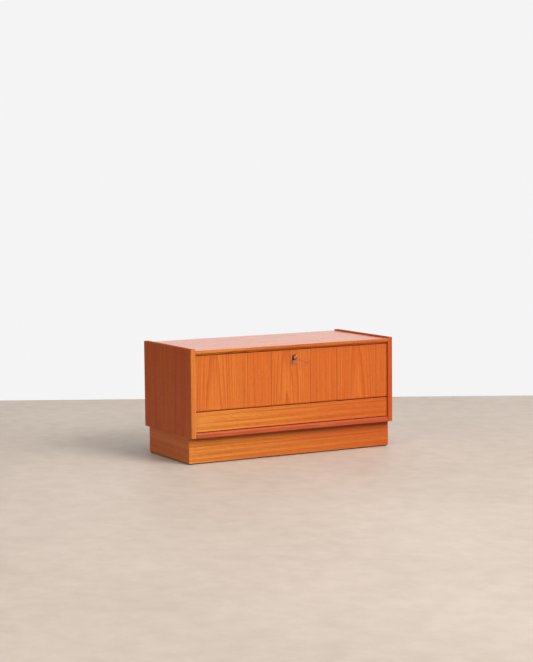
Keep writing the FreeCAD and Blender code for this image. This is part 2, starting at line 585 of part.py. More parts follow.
def key():
    """Key with a ring bow standing upright, a collar, a round shaft and a bit."""
    tip = f"({FRONT} - key_reach)"
    middle = f"{tip} + bow_radius + bow_wire"
    bow = along(bind(doc.addObject("Part::Torus", "key_bow"), Radius1="bow_radius", Radius2="bow_wire"),
                "x", ("0", middle, KEY_Z))
    neck = f"({tip} + 2 * (bow_radius + bow_wire) - 1)"
    collar = rod("key_collar_ring", "y", ("0", neck, KEY_Z), "key_shaft_radius + collar_rim", "key_collar")
    shaft = rod("key_shaft", "y", ("0", neck, KEY_Z), "key_shaft_radius",
                f"{FACE_BACK} - bit_end_gap - {neck}")
    bit = block("key_bit", ("-bit_half_width", "bit_half_width"),
                (f"{LOCK_FRONT} + lock_wall + 0.3", f"{FACE_BACK} - bit_end_gap"),
                (f"{KEY_Z} - bit_length", KEY_Z))
    keep("key", fuse("key_joined", [bow, collar, shaft, bit]))


def stay_arm(side, sign):
    """Flat bar with a bore for the rivet and a long slot for the shoulder pin, laid along its closed line."""
    half = "stay_width / 2"
    end = f"({SLOT_END} + stay_tail)"
    bar = block(f"stay_bar_{side}", ("0", "stay_thickness"), ("0", end), (f"-{half}", half))
    rounds = [rod(f"stay_round_{side}_{index}", "x", ("0", place, "0"), half, "stay_thickness")
              for index, place in enumerate(("0", end))]
    body = fuse(f"stay_blank_{side}", [bar] + rounds)
    slot_half = "(pivot_radius + slot_clearance)"
    slot = block(f"stay_slot_{side}", ("0", "stay_thickness"), (SLOT_START, SLOT_END),
                 (f"-{slot_half}", slot_half))
    ends = [rod(f"stay_slot_end_{side}_{index}", "x", ("0", place, "0"), slot_half, "stay_thickness")
            for index, place in enumerate((SLOT_START, SLOT_END))]
    bore = rod(f"stay_bore_{side}", "x", ("0", "0", "0"), "rivet_radius + pivot_clearance", "stay_thickness")
    arm = cut(f"stay_arm_{side}_cut", body, [fuse(f"stay_slot_joined_{side}", [slot] + ends), bore])
    slope = "stay_start - 90 - stay_spread / 2"
    turn = FreeCAD.Rotation(FreeCAD.Vector(1, 0, 0), number(slope))
    arm.Placement = FreeCAD.Placement(FreeCAD.Vector(), turn)
    low, _ = sided(sign, f"{STAY_X} - stay_thickness", STAY_X)
    bind(arm, Placement__Base__x=low, Placement__Base__y=STAY_Y, Placement__Base__z=STAY_Z)
    keep(f"stay_arm_{side}", arm)


def stay_fittings():
    """Angle brackets on the flap, their rivets and their screws."""
    rivets, screws, panel_holes = [], [], []
    bracket_face = f"({FACE_BACK} + bracket_thickness)"
    lug_in = f"({LUG_OUT} - bracket_thickness)"
    for side, sign in SIDES:
        bracket_holes = []
        for index, end in enumerate((-1, 1)):
            head = (f"{sign} * ({STAY_X} - bracket_screw_place)", bracket_face,
                    f"{STAY_Z} + {end} * bracket_screw_place")
            for owner, list_of in (("bracket", bracket_holes), ("flap", panel_holes), ("", screws)):
                name = f"bracket_screw_{side}_{index}_{owner}"
                list_of.append(screw(name, "y", head, "screw_length", inward=-1))
        foot = block(f"bracket_foot_{side}", sided(sign, f"{STAY_X} - bracket_reach", LUG_OUT),
                     (FACE_BACK, bracket_face),
                     (f"{STAY_Z} - bracket_half_height", f"{STAY_Z} + bracket_half_height"))
        lug_span = sided(sign, lug_in, LUG_OUT)
        lug = block(f"bracket_lug_{side}", lug_span, (FACE_BACK, STAY_Y),
                    (f"{STAY_Z} - bracket_lug_radius", f"{STAY_Z} + bracket_lug_radius"))
        lug_start = (lug_span[0], STAY_Y, STAY_Z)
        lug_round = rod(f"bracket_round_{side}", "x", lug_start, "bracket_lug_radius", "bracket_thickness")
        trim = block(f"bracket_trim_{side}", lug_span, (FACE, FACE_BACK),
                     (f"{STAY_Z} - bracket_half_height", f"{STAY_Z} + bracket_half_height"))
        blank = fuse(f"bracket_blank_{side}", [foot, lug, lug_round])
        bore = rod(f"bracket_bore_{side}", "x", lug_start, "rivet_radius", "bracket_thickness")
        keep(f"stay_bracket_{side}", cut(f"stay_bracket_{side}_cut", blank, [trim, bore] + bracket_holes))
        head_start = f"({STAY_X} + rivet_proud)"
        steps = (("inner", f"{lug_in} - rivet_tail_height", lug_in, "rivet_radius + rivet_rim"),
                 ("shank", lug_in, head_start, "rivet_radius"),
                 ("outer", head_start, f"{head_start} + rivet_head_height", "rivet_radius + rivet_rim"))
        pieces = []
        for step, near, far, radius in steps:
            low, high = sided(sign, near, far)
            pieces.append(rod(f"rivet_{step}_{side}", "x", (low, STAY_Y, STAY_Z), radius,
                              f"({high}) - ({low})"))
        rivets.append(fuse(f"rivet_{side}", pieces))
    keep("stay_rivets", group("stay_rivet_set", rivets))
    keep("bracket_screws", group("bracket_screw_set", screws))
    return panel_holes


def drawer():
    """Grooved drawer box behind a flat front, with dividers and a pegged thread rail."""
    front = block("drawer_front_blank", (f"-{FLAP_END}", FLAP_END), (FACE, FACE_BACK),
                  (DRAWER_DOWN, DRAWER_UP))
    grip = block("drawer_grip", (f"-{DRAWER_IN} + grip_margin", f"{DRAWER_IN} - grip_margin"),
                 (f"{FACE} + grip_wall", FACE_BACK), (DRAWER_DOWN, f"{DRAWER_DOWN} + grip_height"))
    tray = (TRAY_DOWN, TRAY_UP)
    groove_in = f"{DRAWER_IN} + tray_groove"
    tongue_span = (f"{FACE_BACK} - tray_groove", FACE_BACK)
    groove = block("drawer_front_groove", (f"-{DRAWER_IN}", DRAWER_IN), tongue_span, tray)
    keep("drawer_front", cut("drawer_front_cut", front, [grip, groove]))
    box_top = "drawer_box_base + drawer_box_height"
    for side, sign in SIDES:
        board = block(f"drawer_side_board_{side}", sided(sign, DRAWER_IN, DRAWER_OUT),
                      (FACE_BACK, DRAWER_BACK), ("drawer_box_base", box_top))
        track = block(f"drawer_track_{side}",
                      sided(sign, f"{INNER} - runner_thickness - runner_clearance", DRAWER_OUT),
                      (FACE_BACK, DRAWER_BACK),
                      ("runner_middle - runner_height / 2 - runner_clearance",
                       "runner_middle + runner_height / 2 + runner_clearance"))
        slot = block(f"drawer_tray_groove_{side}", sided(sign, DRAWER_IN, groove_in),
                     (FACE_BACK, DRAWER_BACK), tray)
        keep(f"drawer_side_{side}", cut(f"drawer_side_{side}_cut", board, [track, slot]))
    inside_back = f"{DRAWER_BACK} - drawer_back_thickness"
    keep("drawer_back", block("drawer_back_board", (f"-{DRAWER_IN}", DRAWER_IN), (inside_back, DRAWER_BACK),
                              (TRAY_UP, box_top)))
    floor = block("drawer_floor", (f"-({groove_in})", groove_in), (FACE_BACK, DRAWER_BACK), tray)
    tongue = block("drawer_floor_tongue", (f"-{DRAWER_IN}", DRAWER_IN), tongue_span, tray)
    keep("drawer_bottom", fuse("drawer_bottom_joined", [floor, tongue]))
    divided = (TRAY_UP, f"{TRAY_UP} + divider_height")
    middle = f"({FACE_BACK} + cell_depth)"
    keep("drawer_long_divider", block("long_divider_board", (f"-{DRAWER_IN}", DRAWER_IN),
                                      (middle, f"{middle} + divider_thickness"), divided))
    crosses = [block(f"cross_divider_board_{side}", sided(sign, "cell_edge", "cell_edge + divider_thickness"),
                     (FACE_BACK, middle), divided) for side, sign in SIDES]
    keep("drawer_cross_dividers", group("cross_divider_set", crosses))
    rail_span = ("-rail_start", "-cell_edge - rail_end_gap")
    rail_front = f"({middle} - rail_depth)"
    rail = block("thread_rail_board", rail_span, (rail_front, middle), (TRAY_UP, f"{TRAY_UP} + rail_thickness"))
    holes, pegs = [], []
    for index in range(PEG_COUNT):
        start = (f"-peg_start + {index} * peg_spacing", f"{rail_front} + rail_depth / 2",
                 f"{TRAY_UP} + peg_hole_floor")
        holes.append(rod(f"peg_hole_{index}", "z", start, "peg_radius", "rail_thickness"))
        pegs.append(rod(f"thread_peg_{index}", "z", start, "peg_radius", "peg_height"))
    keep("thread_rail", cut("thread_rail_cut", rail, holes))
    keep("thread_pegs", group("thread_peg_set", pegs))


def main():
    """Build every sub-part, check it and write it."""
    dowel_holes = dowels()
    back_holes = back_screws()
    runner_holes = runner_screws()
    side_panels({side: dowel_holes[side] + back_holes[side] + runner_holes[side] for side, _ in SIDES})
    flap_pivots()
    stay_pins()
    lock_holes = lock_screws()
    carcass_boards(dowel_holes, back_holes["back"], lock_holes["top"])
    strike_plate(lock_holes["strike"])
    plinth()
    runners(runner_holes)
    flap(stay_fittings() + lock_holes["flap"])
    hinge_plates()
    lock(lock_holes["ears"])
    keyhole_liner()
    key()
    for side, sign in SIDES:
        stay_arm(side, sign)
    drawer()
    doc.recompute()
    for thing in doc.Objects:
        if "Invalid" in thing.State or "Error" in thing.State:
            raise RuntimeError(f"{thing.Name} ({thing.Label}) failed: {thing.State}")
    os.makedirs("parts", exist_ok=True)
    for node in nodes:
        if node.Shape.isNull() or not node.Shape.isValid():
            raise RuntimeError(f"{node.Label} has no valid shape")
        node.Shape.exportStep(f"parts/{node.Label}.step")


main()
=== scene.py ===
"""Looks of a low teak cabinet with a lockable drop flap over a shallow drawer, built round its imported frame.

Boards, lock, stays and pivots are copies of the frame's pieces with softened arrises and materials of their
own; the key and the screws are modelled anew. Every length is in metres.
"""
import json
import math

import bpy
from mathutils import Matrix, Vector


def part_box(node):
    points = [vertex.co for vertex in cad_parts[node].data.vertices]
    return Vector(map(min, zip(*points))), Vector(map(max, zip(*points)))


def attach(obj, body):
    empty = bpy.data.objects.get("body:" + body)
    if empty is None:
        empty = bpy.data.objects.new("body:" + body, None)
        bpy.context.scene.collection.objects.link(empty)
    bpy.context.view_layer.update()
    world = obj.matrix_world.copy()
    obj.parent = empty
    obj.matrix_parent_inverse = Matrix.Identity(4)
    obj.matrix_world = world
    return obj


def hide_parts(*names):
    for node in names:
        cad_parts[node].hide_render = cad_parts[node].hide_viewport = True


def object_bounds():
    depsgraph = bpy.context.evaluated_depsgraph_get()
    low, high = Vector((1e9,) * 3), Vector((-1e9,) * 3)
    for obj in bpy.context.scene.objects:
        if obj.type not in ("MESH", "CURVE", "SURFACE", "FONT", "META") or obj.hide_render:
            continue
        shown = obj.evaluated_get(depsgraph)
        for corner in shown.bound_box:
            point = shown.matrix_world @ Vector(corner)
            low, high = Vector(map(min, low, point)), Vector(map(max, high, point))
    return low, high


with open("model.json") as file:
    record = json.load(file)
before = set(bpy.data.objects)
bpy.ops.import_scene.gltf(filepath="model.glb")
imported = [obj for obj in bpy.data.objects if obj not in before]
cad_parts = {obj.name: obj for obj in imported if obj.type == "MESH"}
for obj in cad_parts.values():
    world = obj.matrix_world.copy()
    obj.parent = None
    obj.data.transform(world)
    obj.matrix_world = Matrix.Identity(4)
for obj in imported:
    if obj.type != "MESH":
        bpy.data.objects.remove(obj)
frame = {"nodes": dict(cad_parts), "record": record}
CAD_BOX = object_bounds()
HALF_WIDTH = CAD_BOX[1][0]
FLAT_ANGLE, SHARP_ANGLE, SMOOTH_ANGLE = math.radians(0.5), math.radians(25), math.radians(40)

bl_info = {
    "name": "Drop-flap teak cabinet",
    "version": (1, 0, 0),
    "blender": (4, 5, 0),
    "location": "3D View > Sidebar > Cabinet",
    "description": "Finishes a low teak cabinet with a lockable flap and a drawer",
    "category": "Add Mesh",
}

BODY_OF = {node: body for body, members in frame["record"]["behaviour"]["bodies"].items()
           for node in members}


# Sizes and colours

def linear(red, green, blue):
    """A screen colour in 0 to 255 as the linear colour that shaders take."""
    def channel(value):
        value /= 255
        return value / 12.92 if value <= 0.04045 else ((value + 0.055) / 1.055) ** 2.4
    return tuple(channel(value) for value in (red, green, blue))


def colour(name, description, red, green, blue):
    """A colour property with its default."""
    return bpy.props.FloatVectorProperty(name=name, description=description, subtype="COLOR", size=3,
                                         min=0, max=1, default=linear(red, green, blue))


def length(name, description, default):
    """A length property in metres with its default."""
    return bpy.props.FloatProperty(name=name, description=description, default=default, min=0,
                                   unit="LENGTH", precision=5)


def factor(name, description, default):
    """A plain number from 0 to 1 with its default."""
    return bpy.props.FloatProperty(name=name, description=description, default=default, min=0, max=1,
                                   subtype="FACTOR")


def angle(name, description, degrees):
    """An angle property with its default in degrees."""
    return bpy.props.FloatProperty(name=name, description=description, default=math.radians(degrees),
                                   subtype="ANGLE")


def power(name, description, default):
    """The power of a light in watts with its default."""
    return bpy.props.FloatProperty(name=name, description=description, default=default, min=0,
                                   unit="POWER")


class CabinetFinish(bpy.types.PropertyGroup):
    """Colours, figure and surface of the wood and the metal."""
    teak_pale: colour("Pale teak", "Early wood between the dark lines of the figure", 234, 136, 52)
    teak_dark: colour("Dark teak", "Late wood lines of the figure", 184, 75, 22)
    teak_red: colour("Red teak", "Redder heartwood of plain leaves and lippings", 202, 80, 32)
    # Golden teak paints light: mixed in more at the left end than at the right, it paints a fall-off of the
    # light across the front; on the arrises it is wear and painted highlight.
    teak_gold: colour("Golden teak", "Golden light painted on the left of the drawer and the plinth", 238, 160, 66)
    teak_pore: colour("Pores", "Open pores of the teak", 104, 42, 12)
    scuff: colour("Scuffs", "Dulled wood under the keyhole", 168, 80, 72)
    key_steel: colour("Key", "Dulled steel of the key", 158, 150, 138)
    # Tarnished brass of the keyhole liner, darkened further as painted shade of the keyhole.
    liner: colour("Keyhole liner", "Tarnished brass round the keyhole, painted dark as its shade", 70, 52, 40)
    # Painted grey sheen on the top arris of the bottom lipping, under the drawer.
    arris_sheen: colour("Painted arris sheen", "Painted grey sheen on the arris under the drawer", 104, 84, 92)
    beech: colour("Beech", "Plain wood of the drawer box, runners, blocks and dowels", 214, 172, 124)
    beech_dark: colour("Beech flecks", "Flecks and lines in the beech", 172, 122, 78)
    ply: colour("Plywood", "Back panel and drawer bottom", 196, 148, 98)
    ply_dark: colour("Plywood lines", "Darker figure of the plywood", 150, 100, 58)
    brass: colour("Brass", "Pivots, hinge plates and strike plate", 206, 168, 96)
    steel: colour("Nickelled steel", "Lock, stays and screws", 176, 172, 164)
    tarnish: colour("Tarnish", "Dulled places on the metal", 92, 80, 66)
    glide: colour("Glide", "Plastic of the glides", 38, 36, 34)
    arris: length("Arris", "Width of the softened edges of the boards", 0.0010)
    glued_arris: length("Glued arris", "Width of the edges that are glued flush to a lipping", 0.0002)
    runner_arris: length("Runner arris", "Width of the softened edges of the drawer runners", 0.0006)
    peg_arris: length("Peg arris", "Width of the rounded ends of the thread pegs", 0.0009)
    glide_arris: length("Glide arris", "Width of the rounded edges of the glides", 0.0012)
    fitting_arris: length("Fitting arris", "Width of the softened edges of stays and pivots", 0.0003)
    lock_arris: length("Lock arris", "Width of the softened edges of the lock", 0.0004)
    liner_arris: length("Liner arris", "Width of the softened edges of the keyhole liner", 0.00025)
    scuff_aside: length("Scuffs aside", "From the keyhole to the middle of the scuffs", 0.022)
    scuff_below: length("Scuffs below", "From the keyhole down to the middle of the scuffs", 0.024)
    ring_weight: factor("Rings", "How much the growth rings darken the teak", 0.56)
    band_weight: factor("Bands", "How much broad bands of years darken the teak", 0.22)
    streak_weight: factor("Streaks", "How much long streaks darken the teak", 0.36)
    fibre_weight: factor("Fibres", "How much the fibres darken the teak", 0.34)
    pore_weight: factor("Pore depth", "How much the open pores darken the teak", 0.5)
    seam_weight: factor("Seams", "How much the joins between leaves of veneer darken", 0.55)
    lacquer: factor("Lacquer", "How much the lacquered teak reflects", 0.25)
    polish: factor("Polish", "Weight of the polish on the top", 0.8)
    roughness: factor("Roughness", "Roughness of the lacquered teak", 0.40)


class CabinetHardware(bpy.types.PropertyGroup):
    """Sizes of the key and of the screws."""
    bow_radius: length("Bow radius", "Outer radius of the key's ring", 0.0108)
    bow_wire: length("Bow wire", "Radius of the wire that the ring is made of", 0.0022)
    bow_thickness: length("Bow thickness", "Thickness of the ring between its flattened sides", 0.0036)
    bow_reach: length("Bow reach", "From the tip of the bow to the start of the shaft", 0.0205)
    shaft_radius: length("Shaft radius", "Radius of the key's shaft", 0.0025)
    bit_drop: length("Bit drop", "How far the bit reaches below the middle of the shaft", 0.009)
    bit_length: length("Bit length", "Length of the bit along the shaft", 0.0026)
    bit_thickness: length("Bit thickness", "Thickness of the bit", 0.0022)
    ward_width: length("Ward width", "Width of the cut in the bit", 0.0009)
    ward_depth: length("Ward depth", "Depth of the cut in the bit", 0.0025)
    screw_head: length("Screw head", "Radius of a screw's head", 0.0035)
    screw_shank: length("Screw shank", "Radius of a screw's shank", 0.0017)
    screw_sunk: length("Screw countersink", "Height of a screw's countersunk head", 0.0020)
    screw_point: length("Screw point", "Length of a screw's point", 0.0030)
    slot_width: length("Slot width", "Width of the slot in a screw's head", 0.0009)
    slot_depth: length("Slot depth", "Depth of the slot in a screw's head", 0.0008)


class CabinetStage(bpy.types.PropertyGroup):
    """Camera, room and lights."""
    camera_place: bpy.props.FloatVectorProperty(
        name="Camera place", description="Where the camera stands", subtype="XYZ", unit="LENGTH",
        default=(-3.472, -6.3405, 1.156))
    heading: angle("Heading", "Turn of the camera from +Y towards +X", 28.61)
    pitch: angle("Pitch", "How far the camera looks down", 5.37)
    roll: angle("Roll", "Tilt of the camera about its own line of sight", -0.55)
    lens: bpy.props.FloatProperty(name="Lens", description="Focal length on a film 36 millimetres wide",
                                  default=99.03, min=10, unit="CAMERA")
    wall_distance: length("Wall distance", "From the camera to the foot of the wall", 8.81)
    floor: colour("Floor", "Pale trowelled floor", 199, 184, 171)
    floor_dark: colour("Floor clouds", "Darker clouds in the floor", 183, 168, 154)
    wall: colour("Wall", "Plain evenly lit white wall", 244, 244, 244)
    wall_glow: factor("Wall glow", "Share of the wall's light that falls on the floor", 0.35)
    floor_hush: factor("Floor hush", "Share of the light that the floor holds back from the cabinet", 0.6)
    surround: bpy.props.FloatProperty(name="Surround", description="Light of the pale room all round",
                                      default=0.18, min=0)
    key_power: power("Key power", "The soft light at the front", 1400)
    left_power: power("Left power", "The weak light at the left", 200)
    top_power: power("Top power", "The soft light above", 200)


# Small helpers for objects and meshes

def nothing_selected():
    """Leave edit mode and deselect every object."""
    if bpy.context.object and bpy.context.object.mode != "OBJECT":
        bpy.ops.object.mode_set(mode="OBJECT")
    bpy.ops.object.select_all(action="DESELECT")


def chosen(*things):
    """Select just these objects; the first one is active."""
    nothing_selected()
    for thing in things:
        thing.select_set(True)
    bpy.context.view_layer.objects.active = things[0]
    return things[0]


def in_edit_mode(thing, kind="EDGE"):
    """Enter edit mode on one object with nothing selected in its mesh."""
    chosen(thing)
    bpy.ops.object.mode_set(mode="EDIT")
    bpy.ops.mesh.select_mode(type=kind)
    bpy.ops.mesh.select_all(action="DESELECT")


def edge_length(thing, edge):
    """Length of an edge."""
    start, end = (thing.data.vertices[index].co for index in edge.vertices)
    return (start - end).length


def settle(thing):
    """Put an object's place, turn and size into its mesh."""
    chosen(thing)
    bpy.ops.object.transform_apply(location=True, rotation=True, scale=True)
    return thing


def finished(piece, name, node, material, smooth=False):
    """Name a piece, give it its material and body, and let it stand for its node of the frame."""
    settle(piece)
    piece.name = name
    piece.data.name = name
    piece.data.materials.clear()
    piece.data.materials.append(material)
    if smooth:
        chosen(piece)
        bpy.ops.object.shade_smooth_by_angle(angle=SMOOTH_ANGLE)
    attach(piece, BODY_OF[node])
    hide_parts(node)
    return piece


def merged_copy(node):
    """A copy of a piece of the frame with its triangles merged into clean flat faces."""
    source = frame["nodes"][node]
    copy = bpy.data.objects.new(f"{node}_copy", source.data.copy())
    bpy.context.scene.collection.objects.link(copy)
    in_edit_mode(copy)
    bpy.ops.mesh.select_all(action="SELECT")
    bpy.ops.mesh.remove_doubles(threshold=1e-5)
    bpy.ops.mesh.dissolve_limited(angle_limit=FLAT_ANGLE)
    bpy.ops.object.mode_set(mode="OBJECT")
    return copy


def soften(piece, width, shortest=0.011, segments=3):
    """Round over the sharp edges that are longer than shortest and mark the rounded faces as arrises."""
    piece.data.materials.clear()
    for _ in ("face", "arris"):
        piece.data.materials.append(None)
    in_edit_mode(piece)
    bpy.ops.mesh.edges_select_sharp(sharpness=SHARP_ANGLE)
    bpy.ops.object.mode_set(mode="OBJECT")
    for edge in piece.data.edges:
        edge.select = edge.select and edge_length(piece, edge) > shortest
    bpy.ops.object.mode_set(mode="EDIT")
    bpy.ops.mesh.bevel(offset=width, segments=segments, affect="EDGES", clamp_overlap=True, material=1)
    bpy.ops.mesh.select_all(action="SELECT")
    bpy.ops.mesh.dissolve_degenerate(threshold=1e-6)
    bpy.ops.object.mode_set(mode="OBJECT")
    mark = piece.data.attributes.new("arris", "FLOAT", "FACE")
    mark.data.foreach_set("value", [float(face.material_index) for face in piece.data.polygons])
    piece.data.polygons.foreach_set("material_index", [0] * len(piece.data.polygons))
    return piece


def board(node, material, width=None):
    """A softened board in place of a board of the frame."""
    width = width or bpy.context.scene.cabinet_finish.arris
    return finished(soften(merged_copy(node), width), f"{node}_board", node, material)


def fitting(node, name, material, width, shortest=0.0, segments=2):
    """A softened, smoothly shaded piece in place of a small piece of the frame."""
    return finished(soften(merged_copy(node), width, shortest, segments), name, node, material, smooth=True)


def solids_of(node):
    """Lowest and highest corner of each separate solid of a node."""
    copy = merged_copy(node)
    in_edit_mode(copy)
    bpy.ops.mesh.select_all(action="SELECT")
    bpy.ops.mesh.separate(type="LOOSE")
    bpy.ops.object.mode_set(mode="OBJECT")
    boxes = []
    for thing in list(bpy.context.selected_objects):
        places = [vertex.co for vertex in thing.data.vertices]
        boxes.append((Vector(map(min, *places)), Vector(map(max, *places))))
        bpy.data.objects.remove(thing)
    return sorted(boxes, key=lambda box: tuple(round(value, 5) for value in box[0]))


def joined(pieces):
    """Join several meshes into the first one."""
    chosen(*pieces)
    if len(pieces) > 1:
        bpy.ops.object.join()
    return bpy.context.object


def combined(piece, other, operation):
    """Unite one mesh with another, or cut the other out of it, and delete the other."""
    chosen(piece)
    modifier = piece.modifiers.new("combined", "BOOLEAN")
    modifier.operation = operation
    modifier.solver = "EXACT"
    modifier.object = other
    bpy.ops.object.modifier_apply(modifier=modifier.name)
    bpy.data.objects.remove(other)
    return piece


def block(middle, size):
    """A plain block."""
    nothing_selected()
    bpy.ops.mesh.primitive_cube_add(size=1, location=middle, scale=size)
    return settle(bpy.context.object)


def turned(stations, sides=32):
    """A closed solid turned about Z, drawn from ring to ring; each station is its radius and its height."""
    (radius, height), *others = stations
    nothing_selected()
    bpy.ops.mesh.primitive_circle_add(vertices=sides, radius=radius, fill_type="NGON",
                                      location=(0, 0, height))
    piece = settle(bpy.context.object)
    in_edit_mode(piece, "FACE")
    bpy.ops.mesh.select_all(action="SELECT")
    for next_radius, next_height in others:
        bpy.ops.mesh.extrude_region_move(TRANSFORM_OT_translate={"value": (0, 0, next_height - height)})
        bpy.ops.transform.resize(value=(next_radius / radius, next_radius / radius, 1))
        radius, height = next_radius, next_height
    bpy.ops.mesh.select_all(action="SELECT")
    bpy.ops.mesh.normals_make_consistent(inside=False)
    bpy.ops.object.mode_set(mode="OBJECT")
    return piece


# Shader building

def group_tree(name, inputs, outputs):
    """A new shader node group with named number, vector or colour sockets."""
    tree = bpy.data.node_groups.new(name, "ShaderNodeTree")
    kinds = {"number": "NodeSocketFloat", "vector": "NodeSocketVector", "colour": "NodeSocketColor"}
    for label, kind, default in inputs:
        socket = tree.interface.new_socket(label, in_out="INPUT", socket_type=kinds[kind])
        if default is not None:
            socket.default_value = default
    for label, kind in outputs:
        tree.interface.new_socket(label, in_out="OUTPUT", socket_type=kinds[kind])
    return tree, tree.nodes.new("NodeGroupInput").outputs, tree.nodes.new("NodeGroupOutput").inputs


def feed(tree, sockets, values):
    """Link each named socket to another socket, or set it to a constant."""
    for name, value in values.items():
        if isinstance(value, bpy.types.NodeSocket):
            tree.links.new(value, sockets[name])
        else:
            sockets[name].default_value = value


def put(tree, kind, inputs=None, **settings):
    """Add a shader node, set its options, and feed its inputs."""
    made = tree.nodes.new(f"ShaderNode{kind}")
    for name, value in settings.items():
        setattr(made, name, value)
    feed(tree, made.inputs, inputs or {})
    return made


def maths(tree, operation, *values, clamp=False):
    """Result of a maths node on numbers or sockets."""
    return put(tree, "Math", dict(enumerate(values)), operation=operation, use_clamp=clamp).outputs[0]


def span(tree, value, low, high, to_low=0.0, to_high=1.0):
    """Map a span of a value onto another span, held at its ends."""
    return put(tree, "MapRange", {"Value": value, "From Min": low, "From Max": high,
                                  "To Min": to_low, "To Max": to_high}).outputs["Result"]


def blended(tree, amount, first, second):
    """Mix of two colours by a factor."""
    mix = put(tree, "Mix", data_type="RGBA")
    shown = {socket.name: socket for socket in mix.inputs if socket.enabled}
    colours = [value if isinstance(value, bpy.types.NodeSocket) else (*value, 1.0)
               for value in (first, second)]
    feed(tree, shown, {"Factor": amount, "A": colours[0], "B": colours[1]})
    return next(socket for socket in mix.outputs if socket.enabled)


def stretched_noise(tree, place, scale, detail=2.0, roughness=0.5, offset=(0, 0, 0)):
    """Noise drawn out along one axis: the scale is the number of features per metre on each axis."""
    mapped = put(tree, "Mapping", {"Vector": place, "Scale": scale, "Location": offset})
    return put(tree, "TexNoise", {"Vector": mapped.outputs[0], "Scale": 1.0, "Detail": detail,
                                  "Roughness": roughness}).outputs["Fac"]


def teak_figure_group():
    """Growth rings of a flat-sawn board: nested arches at the heart that run into straight lines.

    A point's distance from the pith, made wavy, says which year's ring it lies on; each ring darkens slowly
    towards its late wood and ends sharply.
    """
    tree, given, result = group_tree("teak_figure", [
        ("Across", "number", 0.0), ("Along", "number", 0.0), ("Through", "number", 0.0),
        ("Heart", "number", 0.0), ("Depth", "number", 0.005), ("Taper", "number", 0.02),
        ("Ring Width", "number", 0.004), ("Waviness", "number", 0.008), ("Phase", "number", 0.0)],
        [("Rings", "number"), ("Bands", "number"), ("Streaks", "number"), ("Fibres", "number"),
         ("Pores", "number")])
    place = put(tree, "CombineXYZ", {"X": given["Across"], "Y": given["Along"],
                                     "Z": maths(tree, "ADD", given["Through"], given["Phase"])}).outputs[0]
    wave = maths(tree, "SUBTRACT", stretched_noise(tree, place, (9, 1.6, 6)), 0.5)
    ripple = maths(tree, "SUBTRACT", stretched_noise(tree, place, (60, 5, 40)), 0.5)
    aside = maths(tree, "SUBTRACT", given["Across"], given["Heart"])
    below = maths(tree, "ADD", given["Depth"], given["Through"])
    reach = maths(tree, "SQRT", maths(tree, "ADD", maths(tree, "MULTIPLY", aside, aside),
                                      maths(tree, "MULTIPLY", below, below)))
    lean = maths(tree, "MULTIPLY_ADD", given["Along"], given["Taper"], reach)
    wavy = maths(tree, "MULTIPLY_ADD", wave, given["Waviness"], lean)
    ripple_height, bands_per_metre, sharpness, late_end = 0.0022, 105.0, 2.4, 0.93
    radius = maths(tree, "MULTIPLY_ADD", ripple, ripple_height, wavy)
    season = maths(tree, "FRACT", maths(tree, "DIVIDE", radius, given["Ring Width"]))
    rise = maths(tree, "POWER", season, sharpness)
    fall = span(tree, season, late_end, 1.0, 1.0, 0.0)
    years = put(tree, "TexNoise", {"W": maths(tree, "MULTIPLY_ADD", radius, bands_per_metre, given["Phase"]),
                                   "Scale": 1.0, "Detail": 3.0}, noise_dimensions="1D")
    streaks = stretched_noise(tree, place, (330, 2.0, 330), 3.0, 0.6, (8, 1, 4))
    pores = stretched_noise(tree, place, (1500, 46, 1500), offset=(3, 5, 7))
    feed(tree, result, {"Rings": maths(tree, "MULTIPLY", rise, fall),
                        "Bands": span(tree, years.outputs["Fac"], 0.38, 0.64),
                        "Streaks": span(tree, streaks, 0.36, 0.66),
                        "Fibres": stretched_noise(tree, place, (560, 5, 560), 4.0, 0.7),
                        "Pores": span(tree, pores, 0.60, 0.70)})
    return tree


def lacquer_marks_group():
    """Handling marks in the lacquer: broad clouds, faint smears and a little dust in the roughness."""
    tree, given, result = group_tree("lacquer_marks", [("Place", "vector", None)],
                                     [("Clouds", "number"), ("Smears", "number"), ("Grit", "number")])
    clouds = stretched_noise(tree, given["Place"], (5, 5, 5), 3.0)
    smears = stretched_noise(tree, given["Place"], (26, 17, 34), 5.0, 0.65, (9, 2, 4))
    grit = stretched_noise(tree, given["Place"], (900, 900, 900), 1.0)
    feed(tree, result, {"Clouds": span(tree, clouds, 0.35, 0.65), "Smears": span(tree, smears, 0.52, 0.72),
                        "Grit": span(tree, grit, 0.66, 0.78)})
    return tree


def worn_metal_group():
    """Brushing lines, tarnish and small scratches of old fittings."""
    tree, given, result = group_tree("worn_metal", [("Place", "vector", None), ("Tarnish", "number", 0.4)],
                                     [("Brushing", "number"), ("Dull", "number"), ("Scratches", "number")])
    clouds = stretched_noise(tree, given["Place"], (210, 180, 230), 4.0, 0.6)
    low = maths(tree, "SUBTRACT", 0.72, maths(tree, "MULTIPLY", given["Tarnish"], 0.4))
    lines = stretched_noise(tree, given["Place"], (500, 3000, 60), offset=(1, 8, 3))
    feed(tree, result, {"Brushing": stretched_noise(tree, given["Place"], (2400, 160, 160), 3.0),
                        "Dull": span(tree, clouds, low, 0.8), "Scratches": span(tree, lines, 0.66, 0.74)})
    return tree


def shared_group(name):
    """A node group that is built once and then shared."""
    return bpy.data.node_groups.get(name) or GROUPS[name]()


GROUPS = {"teak_figure": teak_figure_group, "lacquer_marks": lacquer_marks_group,
          "worn_metal": worn_metal_group}


def new_material(name):
    """An empty material with its shader and output; also its object coordinates."""
    material = bpy.data.materials.new(name)
    material.use_nodes = True
    tree = material.node_tree
    tree.nodes.clear()
    shader = put(tree, "BsdfPrincipled")
    tree.links.new(shader.outputs[0], put(tree, "OutputMaterial").inputs["Surface"])
    return material, tree, shader, put(tree, "TexCoord").outputs["Object"]


